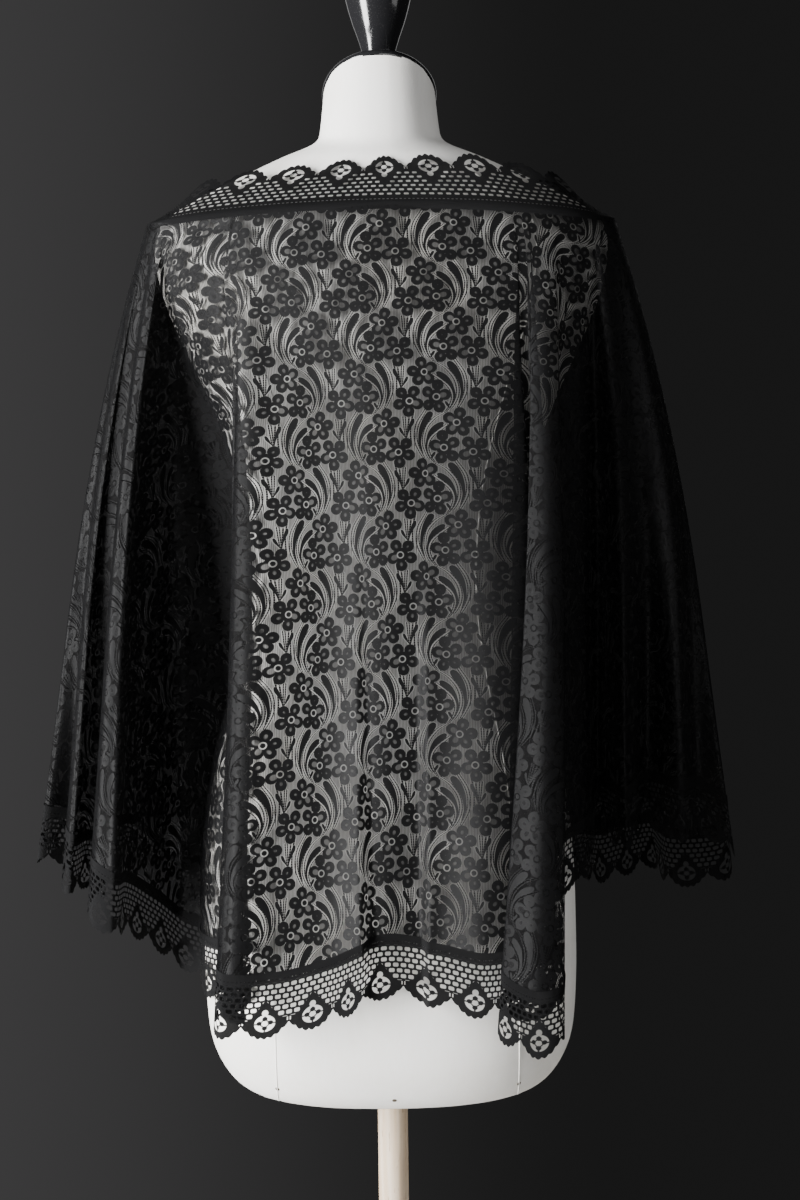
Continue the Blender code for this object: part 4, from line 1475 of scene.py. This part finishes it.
# name, place, aim, width, height, watts
LAMPS = (
    ("key", (-2.14, -1.39, 1.27), (0.0, 0.0, 1.27), 1.00, 2.50, 360.0),
    ("soft fill", (0.95, -2.40, 1.70), (0.0, 0.0, 1.20), 1.80, 1.60, 19.0),
    ("right fill", (2.1, -1.0, 1.5), (0.0, 0.0, 1.1), 1.0, 1.6, 8.0),
    ("front fill", (0.0, 2.6, 1.8), (0.0, 0.0, 1.1), 2.4, 2.0, 6.0),
)
BACKDROP_FADE = (-0.22, 0.09)  # the slopes to each side that its two greys start at


class CAPE_OT_stage(bpy.types.Operator):
    """Set out the pale floor, the soft lamps and the camera"""

    bl_idname = "cape.stage"
    bl_label = "Set the Stage"

    def execute(self, context):
        settings = context.scene.cape_stage
        floor = turned(
            "pale_floor_disc",
            [(settings.floor_radius - 0.002, -0.012), (settings.floor_radius, -0.010),
             (settings.floor_radius, -0.002), (settings.floor_radius - 0.002, 0.0)],
            finish_named("pale floor", make_floor_paint), 128,
        )
        sky = Formula("backdrop", "worlds")
        slope = sky.split(sky.node("ShaderNodeTexCoord"))[0]
        grey = sky.blend(
            sky.fade(slope, *BACKDROP_FADE),
            opaque(settings.backdrop_left), opaque(settings.backdrop_right),
        )
        context.scene.world = sky.finish("Background", color=grey)
        for name, place, aim, width, height, watts in LAMPS:
            light = bpy.data.lights.new(name, "AREA")
            light.shape, light.size, light.size_y = "RECTANGLE", width, height
            light.energy = watts
            lamp = placed(name, light)
            lamp.location = place
            look = Vector(aim) - Vector(place)
            lamp.rotation_euler = look.to_track_quat("-Z", "Y").to_euler()
        view = bpy.data.cameras.new("camera")
        view.sensor_fit, view.sensor_width = "AUTO", 36.0
        view.lens, view.shift_x = CAMERA_LENS, CAMERA_SHIFT
        camera = placed("camera", view)
        camera.matrix_world = (
            Matrix.Translation((0, -CAMERA_DISTANCE, CAMERA_HEIGHT))
            @ Matrix.Rotation(math.pi / 2 - CAMERA_DIP, 4, "X")
            @ Matrix.Rotation(CAMERA_ROLL, 4, "Z")
        )
        context.scene.camera = camera
        return {"FINISHED"}


class CAPE_PT_sidebar(bpy.types.Panel):
    """Lists the pieces of the cape and its form"""

    bl_idname = "CAPE_PT_sidebar"
    bl_label = "Lace Cape"
    bl_space_type = "VIEW_3D"
    bl_region_type = "UI"
    bl_category = "Cape"

    def draw(self, context):
        for label, groups, operators in SIDEBAR:
            box = self.layout.box()
            box.label(text=label)
            for group in groups:
                settings = getattr(context.scene, group)
                for name in settings.__annotations__:
                    box.prop(settings, name)
            for operator in operators:
                box.operator(operator)


SETTINGS = {
    "cape_lace": LaceSettings,
    "cape_edging": EdgingSettings,
    "cape_form": FormSettings,
    "cape_stand": StandSettings,
    "cape_stage": StageSettings,
}
SIDEBAR = (
    ("Lace", ("cape_lace",), ("cape.panels",)),
    ("Edging", ("cape_edging",), ("cape.hem_edgings", "cape.neck_edgings")),
    ("Form", ("cape_form",), ("cape.form",)),
    ("Knob and stand", ("cape_stand",), ("cape.knob", "cape.stand")),
    ("Stage", ("cape_stage",), ("cape.stage",)),
)
CLASSES = (
    *SETTINGS.values(),
    CAPE_OT_panels,
    CAPE_OT_hem_edgings,
    CAPE_OT_neck_edgings,
    CAPE_OT_form,
    CAPE_OT_knob,
    CAPE_OT_stand,
    CAPE_OT_stage,
    CAPE_PT_sidebar,
)


def register():
    for kind in CLASSES:
        bpy.utils.register_class(kind)
    for name, kind in SETTINGS.items():
        setattr(bpy.types.Scene, name, PointerProperty(type=kind))


def unregister():
    for name in SETTINGS:
        delattr(bpy.types.Scene, name)
    for kind in reversed(CLASSES):
        bpy.utils.unregister_class(kind)


def main():
    register()
    bpy.ops.cape.stage()
    bpy.ops.cape.stand()
    bpy.ops.cape.form()
    bpy.ops.cape.knob()
    bpy.ops.cape.panels()
    bpy.ops.cape.hem_edgings()
    bpy.ops.cape.neck_edgings()


if __name__ == "__main__":
    main()
